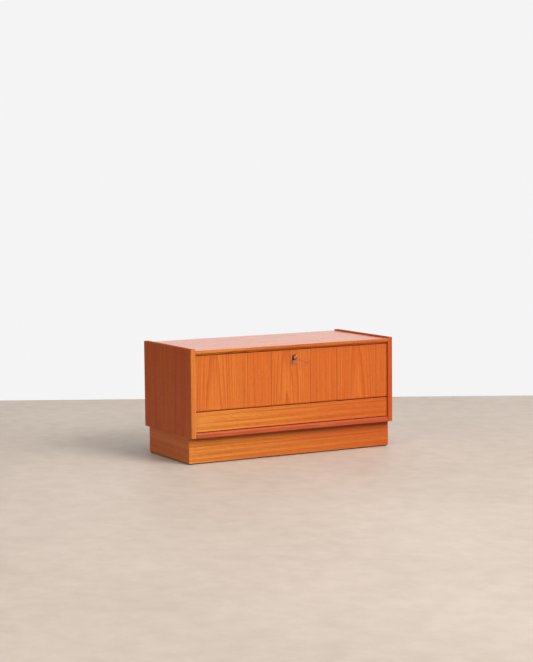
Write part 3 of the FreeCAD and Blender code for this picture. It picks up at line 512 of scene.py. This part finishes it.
def grouped(tree, name, inputs):
    """Place a shared group in a material."""
    made = put(tree, "Group", node_tree=shared_group(name))
    feed(tree, made.inputs, inputs)
    return made.outputs


def relief(tree, height, strength, distance):
    """Normal of a surface with a fine relief."""
    return put(tree, "Bump", {"Height": height, "Strength": strength, "Distance": distance}).outputs[0]


def leaf_values(tree, across, leaves):
    """Heart place, tone and phase of the veneer leaf that a point lies on, stepping from leaf to leaf."""
    reach = 0.5
    ramp = put(tree, "ValToRGB", {"Fac": maths(tree, "ADD", across, reach)})
    steps = ramp.color_ramp
    steps.interpolation = "CONSTANT"
    for index, (start, heart, tone, phase) in enumerate(leaves):
        element = steps.elements[0] if index == 0 else steps.elements.new(start + reach)
        element.position = max(0.0, start + reach)
        element.color = (heart * 0.5 + 0.5, tone, phase, 1.0)
    steps.elements.remove(steps.elements[len(leaves)])
    parts = put(tree, "SeparateColor", {"Color": ramp.outputs["Color"]}).outputs
    heart = maths(tree, "MULTIPLY_ADD", parts["Red"], 2.0, -1.0)
    return heart, parts["Green"], parts["Blue"]


def seam_lines(tree, across, leaves):
    """Thin dark line at each join between two leaves."""
    line, full, gone = None, 0.0006, 0.0018
    for start, *_ in leaves[1:]:
        away = maths(tree, "ABSOLUTE", maths(tree, "SUBTRACT", across, start))
        here = span(tree, away, full, gone, 1.0, 0.0)
        line = here if line is None else maths(tree, "MAXIMUM", line, here)
    return line


def teak(name, grain, heart=0.0, depth=0.005, taper=0.012, ring=0.0036, waviness=0.008, phase=0.0,
         tone=(0.3, 0.3), gold=(0.0, 0.0), contrast=1.0, leaves=None, scuffs=None, shine=0.0,
         deep=(-0.14, -0.06), stain=0.0, raw_edge=None, edge=None):
    """Lacquered teak.

    grain names the axes across, along and through the board, such as "XZY". heart, depth, taper, ring,
    waviness and phase place and shape the growth rings; leaves gives them leaf by leaf. tone, gold and deep
    say how red, golden and dark the wood is at the left and the right end of the cabinet; where gold falls
    and deep rises towards the right they paint a fall-off of the light across the front. raw_edge is the
    height of a dark dull top edge, edge the colour of a painted grey sheen on the arris, stain an even
    darkening, shine the weight of the polish and scuffs the middle of the scuffed place.
    """
    finish = bpy.context.scene.cabinet_finish
    material, tree, shader, place = new_material(name)
    axes = put(tree, "SeparateXYZ", {"Vector": place}).outputs
    across, along, through = (axes[letter] for letter in grain)
    # Ramps from the left to the right end of the cabinet: the more golden left and the darker right paint a
    # fall-off of the light across the front.
    redder, painted_light_gold, darker = (span(tree, axes["X"], -HALF_WIDTH, HALF_WIDTH, *ends)
                              for ends in (tone, gold, deep))
    if leaves:
        heart, redder, phase = leaf_values(tree, across, leaves)
    figure = grouped(tree, "teak_figure", {
        "Across": across, "Along": along, "Through": through, "Heart": heart, "Depth": depth,
        "Taper": taper, "Ring Width": ring, "Waviness": waviness, "Phase": phase})
    marks = grouped(tree, "lacquer_marks", {"Place": place})
    rings = maths(tree, "MULTIPLY", figure["Rings"], finish.ring_weight * contrast)
    bands = maths(tree, "MULTIPLY", figure["Bands"], finish.band_weight * contrast)
    fibres = maths(tree, "MULTIPLY_ADD", span(tree, figure["Fibres"], 0.34, 0.66), finish.fibre_weight,
                   darker)
    streaks = maths(tree, "MULTIPLY_ADD", figure["Streaks"], finish.streak_weight, fibres)
    dark_share = maths(tree, "ADD", maths(tree, "ADD", rings, bands), streaks, clamp=True)
    wood = blended(tree, dark_share, blended(tree, painted_light_gold, finish.teak_pale, finish.teak_gold),
                   finish.teak_dark)
    clouding, most_red = 0.10, 0.75
    redness = maths(tree, "MULTIPLY_ADD", marks["Clouds"], clouding, redder, clamp=True)
    wood = blended(tree, redness, wood, blended(tree, most_red, wood, finish.teak_red))
    dark_spots = maths(tree, "MULTIPLY_ADD", figure["Pores"], finish.pore_weight, stain, clamp=True)
    wood = blended(tree, dark_spots, wood, finish.teak_pore)
    if leaves:
        seams = maths(tree, "MULTIPLY", seam_lines(tree, across, leaves), finish.seam_weight)
        wood = blended(tree, seams, wood, finish.teak_pore)
    if scuffs:
        wood = scuffed(tree, place, wood, scuffs)
    # Arrises are lightened: real wear of the edges together with a painted highlight where an arris catches
    # the light; with edge given, a painted grey sheen on the arris.
    least_wear_and_highlight, most_wear_and_highlight = (0.7, 0.9) if edge else (0.15, 0.5)
    wear_and_highlight = maths(tree, "MULTIPLY", put(tree, "Attribute", attribute_name="arris").outputs["Fac"],
                 span(tree, marks["Smears"], 0.0, 1.0, least_wear_and_highlight, most_wear_and_highlight))
    wood = blended(tree, wear_and_highlight, wood, edge or finish.teak_gold)
    smear_dulling = pore_dulling = 0.12
    rough = maths(tree, "MULTIPLY_ADD", marks["Smears"], smear_dulling, finish.roughness)
    rough = maths(tree, "MULTIPLY_ADD", figure["Pores"], pore_dulling, rough)
    if raw_edge:
        starts_below, whole_below, darkening, dulling = 0.0012, 0.0004, 0.7, 0.45
        raw = span(tree, axes["Z"], raw_edge - starts_below, raw_edge - whole_below)
        wood = blended(tree, maths(tree, "MULTIPLY", raw, darkening), wood, finish.teak_pore)
        rough = maths(tree, "MULTIPLY_ADD", raw, dulling, rough)
    fibre_rise, pore_rise, ring_rise, grain_height = 0.4, -1.0, -0.25, 0.00012
    height = maths(tree, "MULTIPLY_ADD", figure["Fibres"], fibre_rise,
                   maths(tree, "MULTIPLY", figure["Pores"], pore_rise))
    height = maths(tree, "MULTIPLY_ADD", figure["Rings"], ring_rise, height)
    feed(tree, shader.inputs, {
        "Base Color": wood, "Roughness": rough, "Normal": relief(tree, height, 0.35, grain_height),
        "Coat Weight": shine, "Coat Roughness": 0.22, "IOR": 1.45, "Specular IOR Level": finish.lacquer})
    return material


def scuffed(tree, place, wood, middle):
    """Dull, slightly violet scuffs on the face near the keyhole."""
    half_width, half_height, strength = 0.060, 0.019, 0.9
    moved = put(tree, "Mapping", {"Vector": place, "Location": [-value for value in middle]}).outputs[0]
    parts = put(tree, "SeparateXYZ", {"Vector": moved}).outputs
    wide = maths(tree, "DIVIDE", parts["X"], half_width)
    high = maths(tree, "DIVIDE", parts["Z"], half_height)
    away = maths(tree, "ADD", maths(tree, "MULTIPLY", wide, wide), maths(tree, "MULTIPLY", high, high))
    near = span(tree, away, 0.1, 1.0, 1.0, 0.0)
    patches = span(tree, stretched_noise(tree, place, (75, 75, 150), 4.0, 0.6, (2, 2, 2)), 0.47, 0.62)
    amount = maths(tree, "MULTIPLY", maths(tree, "MULTIPLY", near, patches), strength)
    return blended(tree, amount, wood, bpy.context.scene.cabinet_finish.scuff)


def pale_wood(name, grain, light, dark, ring=0.003, phase=0.0, heart=0.5, waviness=0.006):
    """Plain sanded wood or plywood of the hidden parts."""
    ring_share, band_share, pore_share, cloud_share = 0.30, 0.24, 0.35, 0.2
    roughness, fibre_dulling, grain_height = 0.55, 0.15, 0.0001
    material, tree, shader, place = new_material(name)
    axes = put(tree, "SeparateXYZ", {"Vector": place}).outputs
    across, along, through = (axes[letter] for letter in grain)
    figure = grouped(tree, "teak_figure", {
        "Across": across, "Along": along, "Through": through, "Heart": heart, "Depth": 0.03,
        "Taper": 0.03, "Ring Width": ring, "Waviness": waviness, "Phase": phase})
    marks = grouped(tree, "lacquer_marks", {"Place": place})
    share = maths(tree, "ADD", maths(tree, "MULTIPLY", figure["Rings"], ring_share),
                  maths(tree, "MULTIPLY", figure["Bands"], band_share))
    share = maths(tree, "MULTIPLY_ADD", figure["Pores"], pore_share, share, clamp=True)
    wood = blended(tree, share, light, dark)
    feed(tree, shader.inputs, {
        "Base Color": blended(tree, maths(tree, "MULTIPLY", marks["Clouds"], cloud_share), wood, dark),
        "Roughness": maths(tree, "MULTIPLY_ADD", figure["Fibres"], fibre_dulling, roughness),
        "Normal": relief(tree, figure["Fibres"], 0.3, grain_height)})
    return material


def beech(name, grain, phase=0.0):
    """Plain beech of the drawer box, the plinth's inside and the dowels."""
    finish = bpy.context.scene.cabinet_finish
    return pale_wood(name, grain, finish.beech, finish.beech_dark, phase=phase)


def plywood(name, grain, **figure):
    """Plywood of the back and of the drawer's bottom."""
    finish = bpy.context.scene.cabinet_finish
    return pale_wood(name, grain, finish.ply, finish.ply_dark, **figure)


def metal(name, clean, tarnish, roughness):
    """Brushed metal with tarnish and fine scratches."""
    bright_scratch = (0.8, 0.78, 0.74)
    tarnish_share, scratch_share, brushing_height = 0.75, 0.3, 0.00005
    tarnish_dulling, brushing_dulling = 0.25, 0.12
    material, tree, shader, place = new_material(name)
    worn = grouped(tree, "worn_metal", {"Place": place, "Tarnish": tarnish})
    shade = blended(tree, maths(tree, "MULTIPLY", worn["Dull"], tarnish_share), clean,
                    bpy.context.scene.cabinet_finish.tarnish)
    scratched = maths(tree, "MULTIPLY", worn["Scratches"], scratch_share)
    rough = maths(tree, "MULTIPLY_ADD", worn["Dull"], tarnish_dulling, roughness)
    feed(tree, shader.inputs, {
        "Base Color": blended(tree, scratched, shade, bright_scratch),
        "Roughness": maths(tree, "MULTIPLY_ADD", worn["Brushing"], brushing_dulling, rough),
        "Normal": relief(tree, worn["Brushing"], 0.15, brushing_height), "Metallic": 1.0})
    return material


def moulded_glide():
    """Dark moulded plastic with fine grit and scuffs."""
    dusty, grit_share, roughness, smear_dulling = (0.12, 0.11, 0.10), 0.4, 0.5, 0.2
    material, tree, shader, place = new_material("moulded_glide")
    marks = grouped(tree, "lacquer_marks", {"Place": place})
    shade = blended(tree, maths(tree, "MULTIPLY", marks["Grit"], grit_share),
                    bpy.context.scene.cabinet_finish.glide, dusty)
    rough = maths(tree, "MULTIPLY_ADD", marks["Smears"], smear_dulling, roughness)
    feed(tree, shader.inputs, {"Base Color": shade, "Roughness": rough})
    return material


# Leaves of veneer across a board: where each starts, its heart, its redness and its phase.
FLAP_LEAVES = (
    (-0.450, -0.350, 0.15, 0.11), (-0.204, -0.62, 0.38, 0.37), (-0.098, -0.030, 0.20, 0.71),
    (0.076, 0.62, 0.50, 0.53), (0.196, 0.292, 0.42, 0.23), (0.377, 0.70, 0.40, 0.87))
SIDE_LEAVES = (
    (-0.300, -0.45, 0.62, 0.15), (-0.062, 0.42, 0.48, 0.62), (0.112, 0.60, 0.66, 0.34))
TOP_LEAVES = (
    (-0.300, -0.105, 0.30, 0.44), (0.010, 0.125, 0.22, 0.81))


# Operators

class CarcassOperator(bpy.types.Operator):
    """Sides, top, bottom, shelf, partition and back with their solid lippings"""
    bl_idname = "cabinet.make_carcass"
    bl_label = "Make carcass"

    def execute(self, context):
        finish = context.scene.cabinet_finish
        side_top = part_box("side_panel_left")[1].z
        for side, shift in (("left", 0.0), ("right", 0.4)):
            board(f"side_panel_{side}", teak(f"side_veneer_{side}", "YZX", ring=0.005, phase=shift,
                                             leaves=SIDE_LEAVES, contrast=2.2, deep=(-0.05, -0.05),
                                             raw_edge=side_top))
            # The left lipping more golden and the right one darker: painted fall-off of the light across the
            # front.
            board(f"side_lipping_{side}", teak(f"side_lipping_teak_{side}", "XZY", heart=0.9, phase=shift,
                                               tone=(0.15, 0.35), gold=(0.6, 0.2), deep=(-0.15, 0.4),
                                               raw_edge=side_top, shine=0.25))
        board("top_panel", teak("top_veneer", "YXZ", contrast=0.8, leaves=TOP_LEAVES,
                                shine=finish.polish, deep=(0.1, 0.1)), finish.glued_arris)
        # More golden at the left and darker at the right: painted fall-off of the light across the front.
        board("top_lipping", teak("top_lipping_teak", "ZXY", heart=0.9, taper=0.02, tone=(0.0, 0.25),
                                  gold=(0.8, 0.4), contrast=2.0, waviness=0.05, shine=0.3,
                                  deep=(-0.3, -0.15)))
        board("bottom_panel", teak("bottom_veneer", "YXZ", heart=-0.1, phase=0.3), finish.glued_arris)
        # The bottom lipping: deep and stain darken its red wood, its darker right end is painted shade, and
        # edge paints a grey sheen on its arris.
        board("bottom_lipping", teak("bottom_lipping_teak", "ZXY", heart=0.13, taper=0.02, tone=(0.3, 0.65),
                                     contrast=1.8, deep=(0.2, 0.35), stain=0.05, edge=finish.arris_sheen,
                                     shine=0.3))
        board("shelf_panel", teak("shelf_veneer", "YXZ", heart=0.05, phase=0.6), finish.glued_arris)
        board("shelf_lipping", teak("shelf_lipping_teak", "ZXY", heart=0.9, phase=0.7))
        board("centre_partition", teak("partition_veneer", "YZX", heart=0.02, phase=0.2))
        board("back_panel", plywood("back_plywood", "ZXY", ring=0.014, heart=0.26, waviness=0.05),
              finish.glued_arris)
        return {"FINISHED"}


class PlinthOperator(bpy.types.Operator):
    """Mitred plinth with its brace, corner blocks and glides"""
    bl_idname = "cabinet.make_plinth"
    bl_label = "Make plinth"

    def execute(self, context):
        for name, shift in (("front", 0.0), ("back", 0.5)):
            # Golden at the left and darker at the right: painted fall-off of the light across the front.
            board(f"plinth_{name}", teak(f"plinth_{name}_veneer", "ZXY", heart=0.3, taper=0.004,
                                         waviness=0.003, phase=shift, tone=(0.0, 0.45), gold=(0.9, 0.1),
                                         deep=(-0.3, 0.0), contrast=1.4))
        for side, shift in (("left", 0.2), ("right", 0.7)):
            board(f"plinth_side_{side}", teak(f"plinth_side_{side}_veneer", "ZYX", heart=0.3, taper=0.01,
                                              waviness=0.003, phase=shift, tone=(0.2, 0.2),
                                              deep=(-0.1, -0.1), contrast=1.3, shine=0.2))
        board("plinth_brace", beech("brace_beech", "ZYX"))
        board("plinth_corner_blocks", beech("block_beech", "XZY", 0.4))
        fitting("plinth_glides", "plinth_glide_pads", moulded_glide(),
                context.scene.cabinet_finish.glide_arris, segments=3)
        return {"FINISHED"}


class FlapOperator(bpy.types.Operator):
    """Flap with its veneered face and lippings"""
    bl_idname = "cabinet.make_flap"
    bl_label = "Make flap"

    def execute(self, context):
        finish = context.scene.cabinet_finish
        key = (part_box("key")[0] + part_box("key")[1]) / 2
        scuffs = (key.x + finish.scuff_aside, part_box("flap_panel")[0].y, key.z - finish.scuff_below)
        face = teak("flap_veneer", "XZY", leaves=FLAP_LEAVES, scuffs=scuffs, contrast=0.9,
                    waviness=0.005)
        for node in ("flap_panel", "flap_top_lipping", "flap_bottom_lipping", "flap_end_lipping_left",
                     "flap_end_lipping_right"):
            board(node, face, finish.glued_arris)
        return {"FINISHED"}


class DrawerOperator(bpy.types.Operator):
    """Drawer front, box, dividers and the pegged thread rail"""
    bl_idname = "cabinet.make_drawer"
    bl_label = "Make drawer"

    def execute(self, context):
        finish = context.scene.cabinet_finish
        # Golden at the left and darker at the right: painted fall-off of the light across the front.
        board("drawer_front", teak("drawer_veneer", "ZXY", heart=0.4, taper=0.004, waviness=0.003,
                                   phase=0.9, tone=(0.0, 0.32), gold=(1.0, 0.1), contrast=1.4,
                                   deep=(-0.3, 0.04)))
        along_y = beech("drawer_side_beech", "ZYX")
        along_x = beech("drawer_back_beech", "ZXY", 0.3)
        for side in ("left", "right"):
            board(f"drawer_side_{side}", along_y)
            board(f"drawer_runner_{side}", along_y, finish.runner_arris)
        board("drawer_back", along_x)
        board("drawer_long_divider", along_x)
        board("drawer_cross_dividers", along_y)
        board("drawer_bottom", plywood("drawer_plywood", "YXZ", ring=0.009))
        board("thread_rail", along_x)
        fitting("thread_pegs", "thread_rail_pegs", beech("peg_beech", "XZY", 0.8), finish.peg_arris,
                segments=3)
        return {"FINISHED"}


class FittingsOperator(bpy.types.Operator):
    """Pivot plates, hinge plates, stays with their pins and brackets, strike plate and dowels"""
    bl_idname = "cabinet.make_fittings"
    bl_label = "Make fittings"

    def execute(self, context):
        finish = context.scene.cabinet_finish
        brass = metal("dull_brass", finish.brass, 0.5, 0.32)
        steel = metal("nickelled_steel", finish.steel, 0.35, 0.28)
        pairs = (("flap_pivot", brass), ("flap_hinge_plate", brass), ("stay_arm", steel),
                 ("stay_bracket", steel), ("stay_pin", steel))
        nodes = [(f"{name}_{side}", material) for side in ("left", "right") for name, material in pairs]
        for node, material in nodes + [("stay_rivets", steel), ("strike_plate", brass)]:
            fitting(node, f"{node}_fitting", material, finish.fitting_arris)
        dowels = frame["nodes"]["carcass_dowels"]
        dowels.data.materials.clear()
        dowels.data.materials.append(beech("dowel_beech", "YXZ"))
        return {"FINISHED"}


class ScrewsOperator(bpy.types.Operator):
    """Slotted countersunk screws, modelled once and copied to each place"""
    bl_idname = "cabinet.make_screws"
    bl_label = "Make screws"

    facings = (("back_screws", "+Y"), ("bracket_screws", "+Y"), ("lock_screws", "+Y"),
               ("strike_screws", "-Z"), ("runner_screws", "inwards"))
    pattern_length = 0.014
    first_turn, further_turn = 0.3, 1.1

    def execute(self, context):
        steel = metal("screw_steel", context.scene.cabinet_finish.steel, 0.55, 0.33)
        pattern = self.pattern(context.scene.cabinet_hardware)
        for node, facing in self.facings:
            copies = []
            for index, (low, high) in enumerate(solids_of(node)):
                slot_turn = self.first_turn + self.further_turn * index
                copies.append(self.placed(pattern, f"{node}_{index}", self.towards(facing, low), low, high,
                                          slot_turn))
            finished(joined(copies), f"{node}_slotted", node, steel, smooth=True)
        bpy.data.objects.remove(pattern)
        return {"FINISHED"}

    def towards(self, facing, low):
        """Direction in which a screw's head faces."""
        if facing == "inwards":
            return Vector((-1, 0, 0)) if low.x > 0 else Vector((1, 0, 0))
        return {"+Y": Vector((0, 1, 0)), "-Z": Vector((0, 0, -1))}[facing]

    def placed(self, pattern, name, towards, low, high, slot_turn):
        """A copy of the pattern, drawn out to the length of its place and set there."""
        screw = bpy.data.objects.new(name, pattern.data.copy())
        bpy.context.scene.collection.objects.link(screw)
        own_length = abs((high - low).dot(towards))
        for vertex in screw.data.vertices:
            if vertex.co.z < -self.pattern_length / 2:
                vertex.co.z -= own_length - self.pattern_length
        head = (low + high) / 2 + towards * own_length / 2
        screw.data.transform(Matrix.Translation(head) @ towards.to_track_quat("Z", "Y").to_matrix().to_4x4()
                             @ Matrix.Rotation(slot_turn, 4, "Z"))
        return screw

    def pattern(self, sizes):
        """One screw with its head's flat top at the origin, facing +Z."""
        head, shank, tip, rim = sizes.screw_head, sizes.screw_shank, 0.0003, 0.0003
        screw = turned(((tip, -self.pattern_length), (shank, -self.pattern_length + sizes.screw_point),
                        (shank, -sizes.screw_sunk), (head, -rim), (head, -rim / 2), (head - rim / 2, 0)),
                       sides=24)
        slot = block((0, 0, 0), (sizes.slot_width, head * 3, sizes.slot_depth * 2))
        return combined(screw, slot, "DIFFERENCE")


class LockOperator(bpy.types.Operator):
    """Lock case, cap and bolt, and the keyhole liner"""
    bl_idname = "cabinet.make_lock"
    bl_label = "Make lock"

    shortest_edge = 0.001

    def execute(self, context):
        finish = context.scene.cabinet_finish
        steel = metal("lock_steel", finish.steel, 0.6, 0.34)
        for node in ("lock_case", "lock_cap", "lock_bolt"):
            fitting(node, f"{node}_shell", steel, finish.lock_arris, self.shortest_edge)
        # The liner's dark brass paints the shade of the keyhole.
        fitting("keyhole_liner", "keyhole_liner_rim", metal("liner_brass", finish.liner, 0.8, 0.4),
                finish.liner_arris, self.shortest_edge)
        return {"FINISHED"}


class KeyOperator(bpy.types.Operator):
    """Key with a ring bow, two collars, a round shaft and a cut bit"""
    bl_idname = "cabinet.make_key"
    bl_label = "Make key"

    # Radius of the shaft beside each collar, radius of the collar, its start and its end
    collars = ((0.0026, 0.0036, 0.0010, 0.0019), (0.0025, 0.0031, 0.0052, 0.0060))
    bow_gap = 0.0002

    def execute(self, context):
        sizes = context.scene.cabinet_hardware
        low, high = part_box("key")
        level = high.z - sizes.bow_radius - self.bow_gap
        shaft = self.shaft(sizes, low.y + sizes.bow_reach, high.y, level)
        key = combined(shaft, self.bow(sizes, low.y, level), "UNION")
        key = combined(key, self.bit(sizes, high.y, level), "UNION")
        finished(key, "key_forged", "key",
                 metal("dulled_key_steel", context.scene.cabinet_finish.key_steel, 0.5, 0.3), smooth=True)
        return {"FINISHED"}

    def bow(self, sizes, tip, level):
        """Upright ring, flattened on its sides and a little narrower towards the shaft."""
        middle, half = tip + sizes.bow_radius, sizes.bow_thickness / 2
        fullness, narrowing = 1.05, 0.12
        nothing_selected()
        bpy.ops.mesh.primitive_torus_add(
            major_radius=sizes.bow_radius - sizes.bow_wire, minor_radius=sizes.bow_wire, major_segments=48,
            minor_segments=14, location=(0, middle + self.bow_gap / 2, level), rotation=(0, math.pi / 2, 0))
        ring = settle(bpy.context.object)
        for vertex in ring.data.vertices:
            vertex.co.x = max(-half, min(half, vertex.co.x * fullness))
            reach = max(0.0, (vertex.co.y - middle) / sizes.bow_radius)
            vertex.co.z = level + (vertex.co.z - level) * (1 - narrowing * reach ** 2)
        return ring

    def shaft(self, sizes, start, end, level):
        """Turned shaft with its collars."""
        slope, blunt_start, blunt_end = 0.0004, 0.0003, 0.0006
        radius, reach = sizes.shaft_radius, end - start
        stations = [(radius - blunt_start, 0.0)]
        for beside, collar, first, last in self.collars:
            stations += [(beside, first - slope), (collar, first), (collar, last), (beside, last + slope)]
        shaft = turned(stations + [(radius, reach - slope * 2), (radius - blunt_end, reach)])
        shaft.data.transform(Matrix.Translation((0, start, level)) @ Matrix.Rotation(-math.pi / 2, 4, "X"))
        return shaft

    def bit(self, sizes, end, level):
        """Flat bit with a ward cut in its lower edge."""
        along, arris = end - sizes.bit_length / 2, 0.0002
        plate = block((0, along, level - sizes.bit_drop / 2),
                      (sizes.bit_thickness, sizes.bit_length, sizes.bit_drop))
        cut = block((0, along, level - sizes.bit_drop),
                    (sizes.bit_thickness * 2, sizes.ward_width, sizes.ward_depth * 2))
        return combined(soften(plate, arris, shortest=0.0, segments=2), cut, "DIFFERENCE")


class StageOperator(bpy.types.Operator):
    """Floor, wall, lights and camera"""
    bl_idname = "cabinet.set_stage"
    bl_label = "Set stage"

    # Name, place and width of each soft light; the powers are settings of the stage
    softboxes = (("key", (3.6, -9.4, 7.2), 6.4), ("top", (0.4, -1.4, 6.2), 5.0),
                 ("left", (-7.5, -3.0, 4.0), 4.0))
    room_width, floor_depth, wall_height = 40.0, 30.0, 8.0
    aim = Vector((0, 0, 0.25))

    def execute(self, context):
        stage = context.scene.cabinet_stage
        self.floor(stage)
        self.wall(stage)
        self.lights(context, stage)
        self.camera(context, stage)
        context.scene.view_settings.view_transform = "Standard"
        return {"FINISHED"}

    def ahead(self, stage, distance, height=0.0):
        """Point at a distance from the camera along its heading and at a height over the floor."""
        x, y, _ = stage.camera_place
        heading = stage.heading
        return Vector((x + math.sin(heading) * distance, y + math.cos(heading) * distance, height))

    def plane(self, name, place, turn, height):
        """A subdivided plane as wide as the room that belongs to the stage."""
        nothing_selected()
        bpy.ops.mesh.primitive_grid_add(x_subdivisions=4, y_subdivisions=4, size=1, location=place,
                                        rotation=turn)
        sheet = bpy.context.object
        sheet.scale = (self.room_width, height, 1)
        settle(sheet)
        sheet.name = name
        return sheet

    def floor(self, stage):
        """Pale trowelled floor with soft clouds, up to the foot of the wall."""
        broad_share, fine_share = 0.6, 0.5
        floor = self.plane("floor", self.ahead(stage, stage.wall_distance - self.floor_depth / 2),
                           (0, 0, -stage.heading), self.floor_depth)
        material, tree, shader, place = new_material("trowelled_floor")
        clouds = stretched_noise(tree, place, (0.8, 0.8, 1), 4.0, 0.6)
        fine = stretched_noise(tree, place, (14, 11, 1), 5.0, 0.6, (3, 1, 0))
        broad = maths(tree, "MULTIPLY", span(tree, clouds, 0.35, 0.65), broad_share)
        finer = maths(tree, "MULTIPLY", span(tree, fine, 0.36, 0.64), fine_share)
        amount = maths(tree, "ADD", broad, finer, clamp=True)
        paving = blended(tree, amount, stage.floor, stage.floor_dark)
        bounced = maths(tree, "MULTIPLY", put(tree, "LightPath").outputs["Is Diffuse Ray"],
                        stage.floor_hush)
        feed(tree, shader.inputs, {"Base Color": blended(tree, bounced, paving, (0.0, 0.0, 0.0)),
                                   "Roughness": 0.55, "Specular IOR Level": 0.3})
        floor.data.materials.append(material)

    def wall(self, stage):
        """White wall that is seen only from its front, so that it never hides the cabinet."""
        mirrored_whole, mirrored_end = 1.3, 2.2
        wall = self.plane("wall", self.ahead(stage, stage.wall_distance, self.wall_height / 2),
                          (math.pi / 2, 0, -stage.heading), self.wall_height)
        material = bpy.data.materials.new("white_wall")
        material.use_nodes = True
        tree = material.node_tree
        tree.nodes.clear()
        seen = put(tree, "LightPath").outputs
        squared = put(tree, "Mapping", {"Vector": put(tree, "TexCoord").outputs["Object"],
                                        "Rotation": (0, 0, stage.heading)}).outputs[0]
        aside = maths(tree, "ABSOLUTE", put(tree, "SeparateXYZ", {"Vector": squared}).outputs["X"])
        mirrored = maths(tree, "MULTIPLY", seen["Is Glossy Ray"],
                         span(tree, aside, mirrored_whole, mirrored_end, 1.0, 0.0))
        direct = maths(tree, "MAXIMUM", seen["Is Camera Ray"], mirrored)
        spread = maths(tree, "MULTIPLY", seen["Is Diffuse Ray"], stage.wall_glow)
        paint = put(tree, "Emission", {"Color": (*stage.wall, 1.0),
                                       "Strength": maths(tree, "MAXIMUM", direct, spread)})
        clear = put(tree, "BsdfTransparent")
        side = put(tree, "NewGeometry").outputs["Backfacing"]
        mix = put(tree, "MixShader", {0: side, 1: paint.outputs[0], 2: clear.outputs[0]})
        tree.links.new(mix.outputs[0], put(tree, "OutputMaterial").inputs["Surface"])
        wall.data.materials.append(material)

    def lights(self, context, stage):
        """Large soft light from the front right, weak ones above and at the left, and a pale surround."""
        for name, place, size in self.softboxes:
            lamp = bpy.data.lights.new(f"{name}_softbox", "AREA")
            lamp.shape = "DISK"
            lamp.size = size
            lamp.energy = getattr(stage, f"{name}_power")
            light = bpy.data.objects.new(f"{name}_softbox", lamp)
            context.scene.collection.objects.link(light)
            light.location = place
            light.rotation_euler = (self.aim - light.location).to_track_quat("-Z", "Y").to_euler()
        world = bpy.data.worlds.new("studio")
        world.use_nodes = True
        feed(world.node_tree, world.node_tree.nodes["Background"].inputs,
             {"Color": (1.0, 1.0, 1.0, 1.0), "Strength": stage.surround})
        context.scene.world = world

    def camera(self, context, stage):
        """Camera a little above the cabinet, well back with a long lens."""
        data = bpy.data.cameras.new("camera")
        data.sensor_width = 36.0
        data.lens = stage.lens
        data.clip_end = 100.0
        camera = bpy.data.objects.new("camera", data)
        context.scene.collection.objects.link(camera)
        camera.matrix_world = (Matrix.Translation(Vector(stage.camera_place))
                               @ Matrix.Rotation(-stage.heading, 4, "Z")
                               @ Matrix.Rotation(math.pi / 2 - stage.pitch, 4, "X")
                               @ Matrix.Rotation(stage.roll, 4, "Z"))
        context.scene.camera = camera


class CabinetPanel(bpy.types.Panel):
    """Sizes, colours and steps of the cabinet"""
    bl_idname = "VIEW3D_PT_cabinet"
    bl_label = "Drop-flap cabinet"
    bl_space_type = "VIEW_3D"
    bl_region_type = "UI"
    bl_category = "Cabinet"

    def draw(self, context):
        for group_name, settings in SETTINGS:
            box = self.layout.box()
            for name in settings.__annotations__:
                box.prop(getattr(context.scene, group_name), name)
        for operator in STEPS:
            self.layout.operator(operator.bl_idname)


STEPS = (CarcassOperator, PlinthOperator, FlapOperator, DrawerOperator, FittingsOperator, ScrewsOperator,
         LockOperator, KeyOperator, StageOperator)
SETTINGS = (("cabinet_finish", CabinetFinish), ("cabinet_hardware", CabinetHardware),
            ("cabinet_stage", CabinetStage))


def register():
    """Register the settings, the steps and the panel."""
    for name, settings in SETTINGS:
        bpy.utils.register_class(settings)
        setattr(bpy.types.Scene, name, bpy.props.PointerProperty(type=settings))
    for operator in STEPS:
        bpy.utils.register_class(operator)
    bpy.utils.register_class(CabinetPanel)


def unregister():
    """Take away what register added."""
    bpy.utils.unregister_class(CabinetPanel)
    for operator in reversed(STEPS):
        bpy.utils.unregister_class(operator)
    for name, settings in reversed(SETTINGS):
        delattr(bpy.types.Scene, name)
        bpy.utils.unregister_class(settings)


def main():
    """Run each step in order."""
    register()
    for operator in STEPS:
        family, step = operator.bl_idname.split(".")
        getattr(getattr(bpy.ops, family), step)()


if __name__ == "__main__":
    main()
